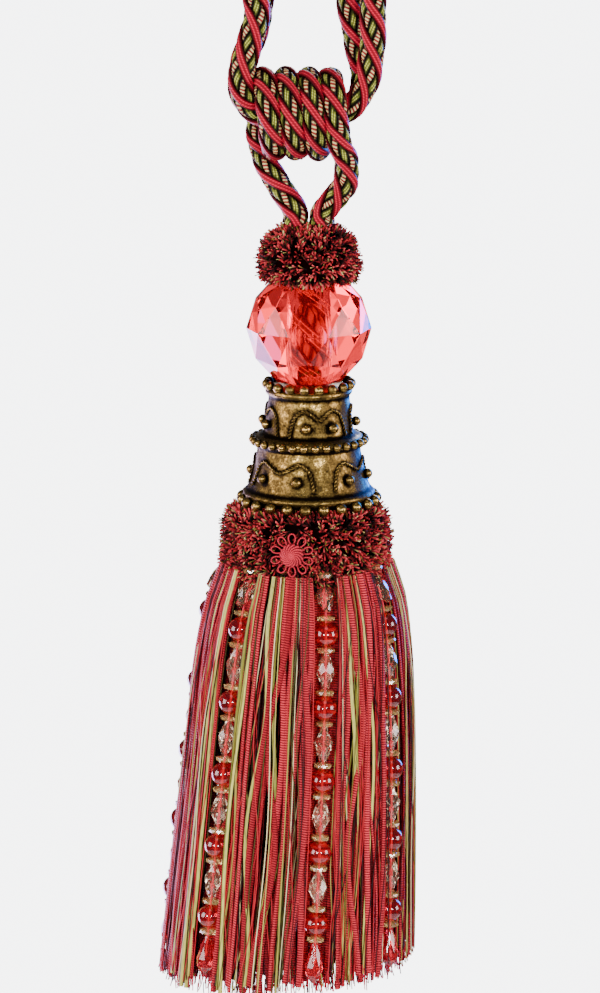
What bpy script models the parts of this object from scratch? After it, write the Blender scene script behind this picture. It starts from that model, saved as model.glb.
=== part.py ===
"""Curtain tieback tassel: a twisted rope with two hanging loops, a wound rope knot, a tassel head of
cut-pile ruffs, a faceted ball and a beaded cap, and a long fringed skirt with strings of beads.

Metres, +Z up, front towards -Y. The origin is midway between the two loops, where they hang.
"""
import math
import random

import bmesh
import bpy
from mathutils import Matrix, Vector

MM = 0.001
GAP = 0.3 * MM

# Rope: three bulky strands twisted as an S, each a lobe of the rope's section. Where the knot pulls
# the rope thin, one turn of its twist is shorter.
ROPE_R = 4.5 * MM
ROPE_LEAD = 43.0 * MM
TIGHT_LEAD = 33.6 * MM
ROPE_STEP = 4.0 * MM
ROPE_LOBES = 3
SIDES_PER_LOBE = 3
ROPE_GROOVE = 0.80

# The long rope, as x, y, z and radius in millimetres: out of the knot's left end, up round the
# left loop, through the knot, up round the right loop and back into the knot.
LONG_ROPE_ROUTE_MM = (
    (-2.2, 4.0, -82.0, 3.9), (-8.0, 4.0, -82.0, 3.9), (-14.0, 4.1, -82.0, 3.9),
    (-19.2, 4.2, -80.6, 3.9), (-23.4, 4.2, -76.4, 4.1), (-24.6, 4.3, -70.0, 4.3),
    (-22.8, 4.5, -63.0, 4.5), (-19.9, 4.6, -56.0, 4.5), (-17.6, 4.6, -49.0, 4.5),
    (-17.0, 4.6, -42.0, 4.5), (-15.2, 5.2, -30.0, 4.5), (-11.1, 6.5, -18.0, 4.5),
    (-8.8, 6.9, -7.0, 4.5), (-11.5, 4.9, 1.1, 4.5), (-18.0, 0.0, 4.5, 4.5),
    (-24.5, -4.9, 1.1, 4.5), (-27.2, -6.9, -7.0, 4.5), (-24.9, -6.7, -18.0, 4.5),
    (-20.6, -5.4, -30.0, 4.5), (-18.4, -5.0, -42.0, 4.5), (-18.7, -5.0, -49.0, 4.5),
    (-20.6, -5.0, -56.0, 4.5), (-22.6, -5.0, -63.0, 4.5), (-23.8, -5.0, -70.0, 4.4),
    (-22.6, -4.7, -76.4, 4.1), (-19.0, -4.2, -80.6, 3.9), (-14.0, -4.0, -82.0, 3.9),
    (-8.0, -4.0, -82.0, 3.9), (-2.0, -4.0, -82.0, 3.9), (4.0, -4.0, -82.0, 3.9),
    (9.8, -4.1, -81.6, 3.9), (14.8, -4.3, -79.2, 3.9), (18.6, -4.6, -74.4, 4.1),
    (20.8, -4.6, -68.5, 4.4), (21.8, -4.6, -62.5, 4.5), (22.3, -4.6, -56.0, 4.5),
    (22.6, -4.6, -49.0, 4.5), (22.4, -4.6, -42.0, 4.5), (23.1, -4.7, -30.0, 4.5),
    (25.7, -6.2, -18.0, 4.5), (27.2, -6.9, -7.0, 4.5), (24.5, -4.9, 1.1, 4.5),
    (18.0, 0.0, 4.5, 4.5), (11.5, 4.9, 1.1, 4.5), (8.8, 6.9, -7.0, 4.5),
    (10.4, 6.2, -18.0, 4.5), (13.3, 4.9, -30.0, 4.5), (14.2, 4.6, -42.0, 4.5),
    (15.3, 4.6, -49.0, 4.5), (16.7, 4.6, -56.0, 4.5), (18.1, 4.6, -63.0, 4.5),
    (19.2, 4.6, -69.0, 4.4), (18.4, 4.5, -75.0, 4.1), (14.6, 4.3, -79.6, 3.9),
    (9.6, 4.1, -81.7, 3.9), (4.0, 4.0, -82.0, 3.9), (-1.4, 4.0, -82.0, 3.9),
)

# The hanging rope: up the left leg, wound round the long rope, down the right leg.
LEFT_LEG_MM = (
    (-4.9, 0.0, -121.1, 4.4), (-4.9, 0.0, -117.4, 4.4), (-7.2, 0.2, -112.4, 4.4),
    (-11.8, 1.4, -106.0, 4.4), (-15.4, 4.2, -99.4, 4.2), (-17.8, 8.4, -92.4, 4.0),
)
RIGHT_LEG_MM = (
    (11.0, -11.2, -91.4, 3.9), (13.2, -8.8, -98.0, 4.2), (13.0, -5.4, -105.2, 4.4),
    (9.9, -2.4, -111.0, 4.4), (4.9, -0.2, -117.0, 4.4), (4.7, 0.0, -121.1, 4.4),
)
WOUND_R = 3.8 * MM
WIND_Z = -82.0 * MM
WIND_R = 12.4 * MM
WIND_PITCH = 7.8 * MM
WIND_FIRST_X = -13.9 * MM
WIND_FROM, WIND_TO, WIND_STEP = 75, 1365, 15

# Faceted ball on its bored rope core.
BALL_Z = -158.6 * MM
BALL_R = 22.4 * MM
BORE_R = 6.3 * MM
BALL_HALF_HEIGHT = 20.6 * MM
STEM_R = 5.9 * MM
STEM_LEAD = 34.0 * MM

# A ruff is a turned core whose side is rows of cut locks. Each lock's tip is a share of its cell.
LOCK_REACH_MM = (-0.8, 0.4)
LOCK_DROP_MM = (-0.5, 0.5)
LOCK_HALF_WIDTH = (0.31, 0.39)
LOCK_HALF_HEIGHT = (0.30, 0.38)
TOP_LOCK_SLOPE, LOCK_SLOPE = 0.25, -0.1
RUFF_END_SHARE = 0.96

# Upper ruff: radius and height of its core's outline, and of the tips of its rows of locks.
UPPER_RUFF_TOP = -121.6 * MM
UPPER_RUFF_BASE = BALL_Z + BALL_HALF_HEIGHT + GAP
UPPER_RUFF_COLUMNS = 18
UPPER_RUFF_CORE = ((10.6, -121.6), (13.4, -124.2), (14.6, -130.2), (14.2, -136.4))
UPPER_RUFF_TIPS = ((12.6, -122.4), (16.6, -128.0), (18.6, -136.8))

# Cap: a stepped bell with three rings of beads and two rows of balls, set in pairs.
CAP_TOP = BALL_Z - BALL_HALF_HEIGHT - GAP
CAP_BASE = -220.6 * MM
CAP_SEGMENTS = 24
CAP_PROFILE = (
    (13.7, 0.0), (15.2, -0.6), (15.4, -2.9), (14.4, -3.5), (15.0, -9.8), (16.2, -16.4),
    (19.4, -18.2), (19.6, -20.4), (18.5, -21.6), (19.6, -29.4), (22.6, -37.0), (23.8, -38.4),
)
BEAD_RINGS = (
    # ring radius, height, bead radius, count, first azimuth
    (15.1, -178.7, 1.8, 18, -6.5),
    (20.1, -198.9, 1.55, 31, -5.3),
    (24.1, -220.4, 2.1, 23, -3.0),
)
CAP_BALL_R = 1.8 * MM
BALL_PAIRS = (
    # distance from the axis, height, azimuth from a pair's middle to each ball, middles of the pairs
    (16.8, -192.4, 17.4, (13.8, 107.0, 195.0, 276.5)),
    (21.2, -211.0, 19.6, (-32.0, 62.7, 152.0, 239.5)),
)

# Lower ruff.
LOWER_RUFF_X = -1.2 * MM
LOWER_RUFF_TOP = CAP_BASE - GAP
LOWER_RUFF_COLUMNS = 24
LOWER_RUFF_CORE = ((20.6, -225.0), (22.6, -230.6), (22.6, -237.6), (21.4, -244.6))
LOWER_RUFF_TIPS = ((29.6, -223.3), (30.9, -233.2), (30.4, -242.6))

# Rosette on the front of the lower ruff.
ROSETTE_AZIMUTH = -8.0
ROSETTE_Z = -234.6 * MM
ROSETTE_R = 7.7 * MM
ROSETTE_LOOPS = 10
ROSETTE_FROM_AXIS = 31.6 * MM

# Skirt: three rings of strands under a narrow round head.
HEAD_TOP = -246.2 * MM
HEAD_BASE = -248.2 * MM
HEAD_R = 31.0 * MM
HEM_Z = -393.8 * MM
HEM_TILT = 2.8 * MM
SKIRT_FLARE = 15.8 * MM
SKIRT_FLARE_POWER = 0.45
SKIRT_LEAN = 7.4 * MM
HEM_DEPTH = 0.92
STRAND_LEVELS = (0.08, 0.4, 1.0)
STRANDS_BETWEEN_STRINGS = 5
STRAND_RINGS = (
    # ring, inner and outer radius of its root, outer radius at the hem, thickness at the hem
    ("outer", 25.0, 31.0, 46.8, 2.4),
    ("middle", 18.0, 25.0, 36.6, 3.0),
    ("inner", 11.0, 18.0, 27.6, 3.6),
)
STRAND_WIDTH = 0.82

# Strings of beads that hang in the skirt's face.
STRING_AZIMUTHS = (-97.0, -42.0, 13.0, 58.0, 108.0, 160.0, 212.0)
STRING_SLOT = 9.6 * MM
STRING_TOP_R = 28.6 * MM
STRING_SIDES = 5
STRING_PERIOD = 26.3 * MM
STRING_REPEATS = 5
FIRST_ROUND_BEAD_Z = -263.2 * MM
STRING_TOP = ((-0.3, 1.0), (-3.4, 3.2), (-7.0, 2.6))
STRING_REPEAT = (
    # height over the round bead's middle and radius: round bead, then the long bead below it
    (5.2, 1.6), (2.4, 4.1), (-2.4, 4.1), (-5.2, 1.6), (-10.4, 3.2), (-15.8, 3.2),
)
STRING_END = (
    # the last round bead and the drop under it
    (5.2, 1.6), (2.4, 4.1), (-2.4, 4.1), (-6.4, 1.2), (-15.0, 3.3), (-20.4, 2.7), (-22.2, 1.0),
)


def clear_scene():
    for thing in list(bpy.data.objects):
        bpy.data.objects.remove(thing, do_unlink=True)


def material(name, colour, roughness, metallic=0.0):
    made = bpy.data.materials.new(name)
    made.use_nodes = True
    shader = made.node_tree.nodes["Principled BSDF"]
    shader.inputs["Base Color"].default_value = (*colour, 1.0)
    shader.inputs["Roughness"].default_value = roughness
    shader.inputs["Metallic"].default_value = metallic
    return made


def finish(name, mesh_builder, surface):
    """An object from a bmesh, closed, with its faces outward and its own material."""
    bmesh.ops.recalc_face_normals(mesh_builder, faces=mesh_builder.faces)
    mesh = bpy.data.meshes.new(name)
    mesh_builder.to_mesh(mesh)
    mesh_builder.free()
    mesh.shade_smooth()
    mesh.materials.append(surface)
    thing = bpy.data.objects.new(name, mesh)
    bpy.context.collection.objects.link(thing)
    return thing


def around(azimuth, radius, z, centre_x=0.0, depth=1.0):
    """A point at an azimuth in degrees, from the front towards the right."""
    turn = math.radians(azimuth)
    return Vector((centre_x + radius * math.sin(turn), -depth * radius * math.cos(turn), z))


def band(mesh_builder, first, second):
    """Faces between two closed rings of vertices."""
    for k in range(len(first)):
        after = (k + 1) % len(first)
        mesh_builder.faces.new((first[k], first[after], second[after], second[k]))


def ring_of(mesh_builder, points):
    return [mesh_builder.verts.new(p) for p in points]


# ---------------------------------------------------------------- rope

def smooth_route(points, step):
    """Points about a step apart on a Catmull-Rom curve through a route's own points."""
    ends = [2 * points[0] - points[1], *points, 2 * points[-1] - points[-2]]
    fine = []
    for a, b, c, d in zip(ends, ends[1:], ends[2:], ends[3:]):
        for k in range(24):
            t = k / 24
            fine.append(0.5 * (2 * b + (c - a) * t + (2 * a - 5 * b + 4 * c - d) * t * t
                               + (3 * b - a - 3 * c + d) * t * t * t))
    fine.append(ends[-2])
    along = [0.0]
    for a, b in zip(fine, fine[1:]):
        along.append(along[-1] + (b - a).xyz.length)
    count = max(2, round(along[-1] / step))
    spaced, k = [], 0
    for wanted in (along[-1] * n / count for n in range(count + 1)):
        while k < len(along) - 2 and along[k + 1] < wanted:
            k += 1
        share = (wanted - along[k]) / (along[k + 1] - along[k])
        spaced.append(fine[k].lerp(fine[k + 1], min(1.0, share)))
    return spaced


def rope_lead(radius):
    slack = (radius - WOUND_R) / (ROPE_R - WOUND_R)
    return TIGHT_LEAD + (ROPE_LEAD - TIGHT_LEAD) * min(1.0, max(0.0, slack))


def stem_lead(_):
    return STEM_LEAD


def twisted_rope(name, route, lead_at, surface):
    """A rope of lobes twisted as an S along a route of x, y, z and radius."""
    points = smooth_route(route, ROPE_STEP)
    centres = [p.xyz for p in points]
    side = (centres[1] - centres[0]).orthogonal().normalized()
    sides = ROPE_LOBES * SIDES_PER_LOBE
    mesh_builder = bmesh.new()
    rings, turned = [], 0.0
    for k, centre in enumerate(centres):
        ahead = centres[min(k + 1, len(centres) - 1)] - centres[max(k - 1, 0)]
        ahead.normalize()
        side = (side - ahead * side.dot(ahead)).normalized()
        turned += (centre - centres[max(k - 1, 0)]).length / lead_at(points[k].w)
        across = ahead.cross(side)
        section = []
        for corner in range(sides):
            reach = points[k].w * (ROPE_GROOVE if corner % SIDES_PER_LOBE == 0 else 1.0)
            turn = math.tau * (corner / sides - turned)
            section.append(centre + reach * (side * math.cos(turn) + across * math.sin(turn)))
        rings.append(ring_of(mesh_builder, section))
    for first, second in zip(rings, rings[1:]):
        band(mesh_builder, first, second)
    mesh_builder.faces.new(rings[0])
    mesh_builder.faces.new(rings[-1])
    return finish(name, mesh_builder, surface)


def route_from(table):
    return [Vector(row) * MM for row in table]


def wound_turns():
    """The turns round the long rope, rising at the back and coming down in front."""
    turns = []
    for angle in range(WIND_FROM, WIND_TO + 1, WIND_STEP):
        turn = math.radians(angle)
        x = WIND_FIRST_X + WIND_PITCH * (angle - 270) / 360
        turns.append(Vector((x, WIND_R * math.sin(turn), WIND_Z - WIND_R * math.cos(turn), WOUND_R)))
    return turns


def make_ropes():
    long_rope = route_from(LONG_ROPE_ROUTE_MM)
    twisted_rope("long_rope", long_rope, rope_lead, material("rope_red", (0.46, 0.05, 0.07), 0.5))
    hanging = route_from(LEFT_LEG_MM) + wound_turns() + route_from(RIGHT_LEG_MM)
    twisted_rope("hanging_rope", hanging, rope_lead, material("rope_olive", (0.26, 0.22, 0.06), 0.5))
    half = BALL_HALF_HEIGHT
    stem = [Vector((0.0, 0.0, BALL_Z + z, STEM_R)) for z in (half, half / 2, 0.0, -half / 2, -half)]
    twisted_rope("stem_rope", stem, stem_lead, material("stem_gold", (0.55, 0.20, 0.10), 0.5))


# ---------------------------------------------------------------- locks and strands

def grow(mesh_builder, root, sections):
    """A four-sided strand from four root vertices through sections of four points each."""
    ring = root
    for section in sections:
        after = ring_of(mesh_builder, section)
        band(mesh_builder, ring, after)
        ring = after
    mesh_builder.faces.new(ring)


def ruff(name, columns, core, tips, top, base, centre_x, surface, seed):
    """A turned core whose side is rows of cut locks, one lock for each cell of the core's side."""
    chance = random.Random(seed)
    mesh_builder = bmesh.new()
    turn = 360.0 / columns
    rings = []
    for radius, z in core:
        rings.append(ring_of(mesh_builder, [
            around(turn * k, radius * MM, z * MM, centre_x) for k in range(columns)]))
    for row, (tip_radius, tip_z) in enumerate(tips):
        upper, lower = rings[row], rings[row + 1]
        for k in range(columns):
            after = (k + 1) % columns
            root = (upper[k], upper[after], lower[after], lower[k])
            radius = (tip_radius + chance.uniform(*LOCK_REACH_MM)) * MM
            z = (tip_z + chance.uniform(*LOCK_DROP_MM)) * MM
            half_turn = turn * chance.uniform(*LOCK_HALF_WIDTH)
            half_high = (root[0].co.z - root[3].co.z) * chance.uniform(*LOCK_HALF_HEIGHT)
            middle = turn * (k + 0.5)
            slope = half_high * (TOP_LOCK_SLOPE if row == 0 else LOCK_SLOPE)
            grow(mesh_builder, root, [[
                around(middle - half_turn, radius - slope, z + half_high, centre_x),
                around(middle + half_turn, radius - slope, z + half_high, centre_x),
                around(middle + half_turn, radius + slope, z - half_high, centre_x),
                around(middle - half_turn, radius + slope, z - half_high, centre_x)]])
    for ring, z in ((rings[0], top), (rings[-1], base)):
        inner = ring_of(mesh_builder, [
            Vector((centre_x, 0.0, z)).lerp(Vector((*v.co.xy, z)), RUFF_END_SHARE) for v in ring])
        band(mesh_builder, ring, inner)
        mesh_builder.faces.new(inner)
    return finish(name, mesh_builder, surface)


def make_ruffs():
    pile = material("pile_red", (0.34, 0.05, 0.06), 0.9)
    ruff("upper_ruff", UPPER_RUFF_COLUMNS, UPPER_RUFF_CORE, UPPER_RUFF_TIPS,
         UPPER_RUFF_TOP, UPPER_RUFF_BASE, 0.0, pile, seed=11)
    lower_pile = material("pile_red_lower", (0.36, 0.05, 0.06), 0.9)
    ruff("lower_ruff", LOWER_RUFF_COLUMNS, LOWER_RUFF_CORE, LOWER_RUFF_TIPS,
         LOWER_RUFF_TOP, HEAD_TOP + GAP, LOWER_RUFF_X, lower_pile, seed=12)


# ---------------------------------------------------------------- ball and cap

def make_ball():
    """A ball of flat facets, a ring of ten corners round its middle, bored from top to bottom."""
    mesh_builder = bmesh.new()
    upright = Matrix.Translation((0.0, 0.0, BALL_Z)) @ Matrix.Rotation(math.radians(18.0), 4, "Z")
    bmesh.ops.create_icosphere(mesh_builder, subdivisions=2, radius=BALL_R, matrix=upright)
    ball = finish("ball", mesh_builder, material("ball_coral", (0.85, 0.25, 0.22), 0.08))
    ball.data.shade_flat()
    drill = bmesh.new()
    bmesh.ops.create_cone(drill, cap_ends=True, segments=14, radius1=BORE_R, radius2=BORE_R,
                          depth=3 * BALL_R, matrix=Matrix.Translation((0.0, 0.0, BALL_Z)))
    bore = finish("ball_bore", drill, material("bore", (0.5, 0.5, 0.5), 0.5))
    cut_or_join(ball, bore, "DIFFERENCE")


def cut_or_join(target, tool, operation):
    tool.hide_render = True
    tool.display_type = "WIRE"
    step = target.modifiers.new(tool.name, "BOOLEAN")
    step.operation = operation
    step.solver = "EXACT"
    step.object = tool


def bead_ring(mesh_builder, radius, z, bead, count, first_azimuth):
    """A closed ring that swells at each bead and narrows between two beads."""
    sections = []
    for column in range(2 * count):
        reach = bead if column % 2 == 0 else 0.5 * bead
        azimuth = first_azimuth + 360.0 * column / (2 * count)
        sections.append(ring_of(mesh_builder, [
            around(azimuth, radius + reach * math.cos(turn), z + reach * math.sin(turn))
            for turn in (math.tau * (corner + 0.5) / 4 for corner in range(4))]))
    for first, second in zip(sections, sections[1:] + sections[:1]):
        band(mesh_builder, first, second)


def make_cap():
    """The stepped bell, with its bead rings and balls joined to it."""
    mesh_builder = bmesh.new()
    turn = 360.0 / CAP_SEGMENTS
    profile = [(r * MM, CAP_TOP + z * MM) for r, z in CAP_PROFILE] + [(23.0 * MM, CAP_BASE)]
    rings = [ring_of(mesh_builder, [around(turn * k, r, z) for k in range(CAP_SEGMENTS)])
             for r, z in profile]
    for first, second in zip(rings, rings[1:]):
        band(mesh_builder, first, second)
    mesh_builder.faces.new(rings[0])
    mesh_builder.faces.new(rings[-1])
    brass = material("aged_brass", (0.30, 0.22, 0.10), 0.42, 1.0)
    cap = finish("cap", mesh_builder, brass)
    trim = bmesh.new()
    for radius, z, bead, count, first_azimuth in BEAD_RINGS:
        bead_ring(trim, radius * MM, z * MM, bead * MM, count, first_azimuth)
    for radius, z, half_angle, middles in BALL_PAIRS:
        for azimuth in (middle + side * half_angle for middle in middles for side in (-1, 1)):
            place = around(azimuth, radius * MM, z * MM)
            bmesh.ops.create_icosphere(trim, subdivisions=1, radius=CAP_BALL_R,
                                       matrix=Matrix.Translation(place))
    cut_or_join(cap, finish("cap_trim", trim, brass), "UNION")


def make_rosette():
    """A wrapped disc inside a ring of small cord loops, facing forward on the lower ruff."""
    mesh_builder = bmesh.new()
    columns = 2 * ROSETTE_LOOPS
    facing = Matrix.Rotation(math.radians(ROSETTE_AZIMUTH), 4, "Z")
    middle = Vector((LOWER_RUFF_X, 0.0, ROSETTE_Z))
    rows = (
        # share of the radius at a loop and between loops, distance in front of the back
        (0.80, 0.74, 0.0), (1.0, 0.84, 1.4), (0.80, 0.72, 2.8), (0.60, 0.58, 2.2), (0.52, 0.52, 3.6),
    )
    rings = []
    for at_loop, between, forward in rows:
        points = []
        for k in range(columns):
            reach = ROSETTE_R * (at_loop if k % 2 == 0 else between)
            turn = math.tau * k / columns
            local = Vector((reach * math.sin(turn), -ROSETTE_FROM_AXIS - forward * MM,
                            reach * math.cos(turn)))
            points.append(middle + facing @ local)
        rings.append(ring_of(mesh_builder, points))
    for first, second in zip(rings, rings[1:]):
        band(mesh_builder, first, second)
    mesh_builder.faces.new(rings[0])
    mesh_builder.faces.new(rings[-1])
    finish("rosette", mesh_builder, material("rosette_pink", (0.60, 0.08, 0.12), 0.6))


# ---------------------------------------------------------------- skirt

def flare(share):
    """How much of the skirt's flare is reached at a share of its length."""
    return share ** SKIRT_FLARE_POWER


def skirt_x(share):
    return LOWER_RUFF_X - SKIRT_LEAN * share ** 1.2


def skirt_depth(share):
    return 1.0 - (1.0 - HEM_DEPTH) * share


def skirt_z(share, azimuth):
    """Height at a share of the skirt's length; the hem is higher on the right."""
    hem = HEM_Z + HEM_TILT * math.sin(math.radians(azimuth))
    return HEAD_BASE + (hem - HEAD_BASE) * share


def cell_edges():
    """Azimuths that part the head into cells, and whether a string of beads hangs in each cell."""
    edges, has_string = [], []
    slot = math.degrees(STRING_SLOT / (HEAD_R + 0.3 * SKIRT_FLARE))
    for k, azimuth in enumerate(STRING_AZIMUTHS):
        after = STRING_AZIMUTHS[(k + 1) % len(STRING_AZIMUTHS)]
        clear = (after - azimuth) % 360.0 - slot
        edges.append(azimuth - slot / 2)
        has_string.append(True)
        for n in range(STRANDS_BETWEEN_STRINGS):
            edges.append(azimuth + slot / 2 + clear * n / STRANDS_BETWEEN_STRINGS)
            has_string.append(False)
    edges.append(edges[0] + 360.0)
    return edges, has_string


def strand_sections(chance, left, right, ring):
    """Sections of a strand between two azimuths, for a row of the ring table."""
    _, root_in, root_out, hem_out, thickness = ring
    middle, half = (left + right) / 2, (right - left) / 2 * STRAND_WIDTH
    sway, stretch = chance.uniform(-0.5, 0.5), chance.uniform(0.975, 1.0)
    sections = []
    for level in STRAND_LEVELS:
        share = level * stretch
        outer = (root_out + (hem_out - root_out) * flare(share)) * MM
        inner = outer - thickness * MM
        z = skirt_z(share, middle)
        centre_x, depth = skirt_x(share), skirt_depth(share)
        near, far = middle - half + sway * level, middle + half + sway * level
        sections.append([around(near, outer, z, centre_x, depth), around(far, outer, z, centre_x, depth),
                         around(far, inner, z, centre_x, depth), around(near, inner, z, centre_x, depth)])
    return sections


def make_skirt():
    """A round head whose underside carries three rings of strands."""
    chance = random.Random(21)
    edges, has_string = cell_edges()
    mesh_builder = bmesh.new()
    radii = [STRAND_RINGS[0][2]] + [ring[1] for ring in STRAND_RINGS]
    rings = [ring_of(mesh_builder, [around(a, r * MM, HEAD_BASE, LOWER_RUFF_X) for a in edges[:-1]])
             for r in radii]
    top = ring_of(mesh_builder, [around(a, HEAD_R - 1.0 * MM, HEAD_TOP, LOWER_RUFF_X) for a in edges[:-1]])
    band(mesh_builder, top, rings[0])
    mesh_builder.faces.new(top)
    mesh_builder.faces.new(rings[-1])
    for row, ring in enumerate(STRAND_RINGS):
        outer, inner = rings[row], rings[row + 1]
        for k, string_here in enumerate(has_string):
            after = (k + 1) % len(has_string)
            root = (outer[k], outer[after], inner[after], inner[k])
            if string_here and ring[0] == "outer":
                mesh_builder.faces.new(root)
            else:
                grow(mesh_builder, root, strand_sections(chance, edges[k], edges[k + 1], ring))
    finish("skirt", mesh_builder, material("fringe_red", (0.48, 0.08, 0.10), 0.7))


def string_profile():
    """Height and radius down a string of beads, from under the skirt's head to its drop."""
    profile = [(HEAD_BASE + rise * MM, radius * MM) for rise, radius in STRING_TOP]
    for repeat in range(STRING_REPEATS):
        middle = FIRST_ROUND_BEAD_Z - STRING_PERIOD * repeat
        beads = STRING_REPEAT if repeat < STRING_REPEATS - 1 else STRING_END
        profile += [(middle + rise * MM, radius * MM) for rise, radius in beads]
    return profile


def string_path(azimuth, z):
    """Middle of a string of beads at a height, in the face of the skirt."""
    share = (z - HEAD_BASE) / (skirt_z(1.0, azimuth) - HEAD_BASE)
    radius = STRING_TOP_R + SKIRT_FLARE * flare(share)
    return around(azimuth, radius, z, skirt_x(share), skirt_depth(share))


def make_bead_strings():
    for number, azimuth in enumerate(STRING_AZIMUTHS, start=1):
        mesh_builder = bmesh.new()
        rings = []
        for z, radius in string_profile():
            middle = string_path(azimuth, z)
            rings.append(ring_of(mesh_builder, [
                middle + Vector((radius * math.cos(turn), radius * math.sin(turn), 0.0))
                for turn in (math.tau * k / STRING_SIDES for k in range(STRING_SIDES))]))
        for first, second in zip(rings, rings[1:]):
            band(mesh_builder, first, second)
        mesh_builder.faces.new(rings[0])
        mesh_builder.faces.new(rings[-1])
        glass = material(f"glass_beads_{number}", (0.62, 0.05, 0.06), 0.1)
        finish(f"bead_string_{number}", mesh_builder, glass)


clear_scene()
make_ropes()
make_ruffs()
make_ball()
make_cap()
make_rosette()
make_skirt()
make_bead_strings()
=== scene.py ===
"""Curtain tieback tassel, dressed: corded ropes, cut-pile ruffs, a faceted acrylic ball, an aged brass
cap with twisted-wire scrolls, a rosette, and a skirt of gimp, ribbon and thread with strings of beads.

Metres, +Z up, front towards -Y. Run it from Blender's text editor or with blender --python.
"""

import math
import random

import bmesh
import bpy
from bpy.props import FloatProperty, FloatVectorProperty, IntProperty, PointerProperty
from mathutils import Matrix, Vector, noise


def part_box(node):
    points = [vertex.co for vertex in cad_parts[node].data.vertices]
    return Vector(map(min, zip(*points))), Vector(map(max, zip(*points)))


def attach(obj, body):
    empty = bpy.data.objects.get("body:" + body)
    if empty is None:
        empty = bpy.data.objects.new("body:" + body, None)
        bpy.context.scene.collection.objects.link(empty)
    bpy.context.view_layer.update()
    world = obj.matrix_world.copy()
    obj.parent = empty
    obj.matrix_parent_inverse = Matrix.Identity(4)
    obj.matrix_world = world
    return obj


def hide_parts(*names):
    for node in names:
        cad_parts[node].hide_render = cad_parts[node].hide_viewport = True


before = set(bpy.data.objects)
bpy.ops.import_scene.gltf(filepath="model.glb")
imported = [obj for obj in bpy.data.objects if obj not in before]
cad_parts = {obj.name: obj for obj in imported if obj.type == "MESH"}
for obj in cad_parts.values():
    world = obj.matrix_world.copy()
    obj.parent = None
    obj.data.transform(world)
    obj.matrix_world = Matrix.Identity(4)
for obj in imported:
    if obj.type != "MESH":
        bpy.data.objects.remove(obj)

bl_info = {
    "name": "Curtain Tieback Tassel",
    "version": (1, 0, 0),
    "blender": (4, 5, 0),
    "location": "View3D > Sidebar > Tassel",
    "description": "Makes the yarns, pile, beads and brass of a curtain tieback tassel",
    "category": "Add Mesh",
}

MM = 0.001

# The long rope, as x, y, z and radius in millimetres: out of the knot's left end, up round the
# left loop, through the knot, up round the right loop and back into the knot.
LONG_ROPE_ROUTE_MM = (
    (-2.2, 4.0, -82.0, 3.9), (-8.0, 4.0, -82.0, 3.9), (-14.0, 4.1, -82.0, 3.9),
    (-19.2, 4.2, -80.6, 3.9), (-23.4, 4.2, -76.4, 4.1), (-24.6, 4.3, -70.0, 4.3),
    (-22.8, 4.5, -63.0, 4.5), (-19.9, 4.6, -56.0, 4.5), (-17.6, 4.6, -49.0, 4.5),
    (-17.0, 4.6, -42.0, 4.5), (-15.2, 5.2, -30.0, 4.5), (-11.1, 6.5, -18.0, 4.5),
    (-8.8, 6.9, -7.0, 4.5), (-11.5, 4.9, 1.1, 4.5), (-18.0, 0.0, 4.5, 4.5),
    (-24.5, -4.9, 1.1, 4.5), (-27.2, -6.9, -7.0, 4.5), (-24.9, -6.7, -18.0, 4.5),
    (-20.6, -5.4, -30.0, 4.5), (-18.4, -5.0, -42.0, 4.5), (-18.7, -5.0, -49.0, 4.5),
    (-20.6, -5.0, -56.0, 4.5), (-22.6, -5.0, -63.0, 4.5), (-23.8, -5.0, -70.0, 4.4),
    (-22.6, -4.7, -76.4, 4.1), (-19.0, -4.2, -80.6, 3.9), (-14.0, -4.0, -82.0, 3.9),
    (-8.0, -4.0, -82.0, 3.9), (-2.0, -4.0, -82.0, 3.9), (4.0, -4.0, -82.0, 3.9),
    (9.8, -4.1, -81.6, 3.9), (14.8, -4.3, -79.2, 3.9), (18.6, -4.6, -74.4, 4.1),
    (20.8, -4.6, -68.5, 4.4), (21.8, -4.6, -62.5, 4.5), (22.3, -4.6, -56.0, 4.5),
    (22.6, -4.6, -49.0, 4.5), (22.4, -4.6, -42.0, 4.5), (23.1, -4.7, -30.0, 4.5),
    (25.7, -6.2, -18.0, 4.5), (27.2, -6.9, -7.0, 4.5), (24.5, -4.9, 1.1, 4.5),
    (18.0, 0.0, 4.5, 4.5), (11.5, 4.9, 1.1, 4.5), (8.8, 6.9, -7.0, 4.5),
    (10.4, 6.2, -18.0, 4.5), (13.3, 4.9, -30.0, 4.5), (14.2, 4.6, -42.0, 4.5),
    (15.3, 4.6, -49.0, 4.5), (16.7, 4.6, -56.0, 4.5), (18.1, 4.6, -63.0, 4.5),
    (19.2, 4.6, -69.0, 4.4), (18.4, 4.5, -75.0, 4.1), (14.6, 4.3, -79.6, 3.9),
    (9.6, 4.1, -81.7, 3.9), (4.0, 4.0, -82.0, 3.9), (-1.4, 4.0, -82.0, 3.9),
)

# The hanging rope: up the left leg, wound round the long rope, down the right leg.
LEFT_LEG_MM = (
    (-4.9, 0.0, -121.1, 4.4), (-4.9, 0.0, -117.4, 4.4), (-7.2, 0.2, -112.4, 4.4),
    (-11.8, 1.4, -106.0, 4.4), (-15.4, 4.2, -99.4, 4.2), (-17.8, 8.4, -92.4, 4.0),
)
RIGHT_LEG_MM = (
    (11.0, -11.2, -91.4, 3.9), (13.2, -8.8, -98.0, 4.2), (13.0, -5.4, -105.2, 4.4),
    (9.9, -2.4, -111.0, 4.4), (4.9, -0.2, -117.0, 4.4), (4.7, 0.0, -121.1, 4.4),
)
ROPE_R_MM = 4.5
WOUND_R_MM = 3.8  # where the rope is pulled tight
WIND_Z_MM = -82.0
WIND_R_MM = 12.4
WIND_PITCH_MM = 7.8
WIND_FIRST_X_MM = -13.9
WIND_FROM, WIND_TO, WIND_STEP = 75, 1365, 15  # degrees round the long rope
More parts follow.
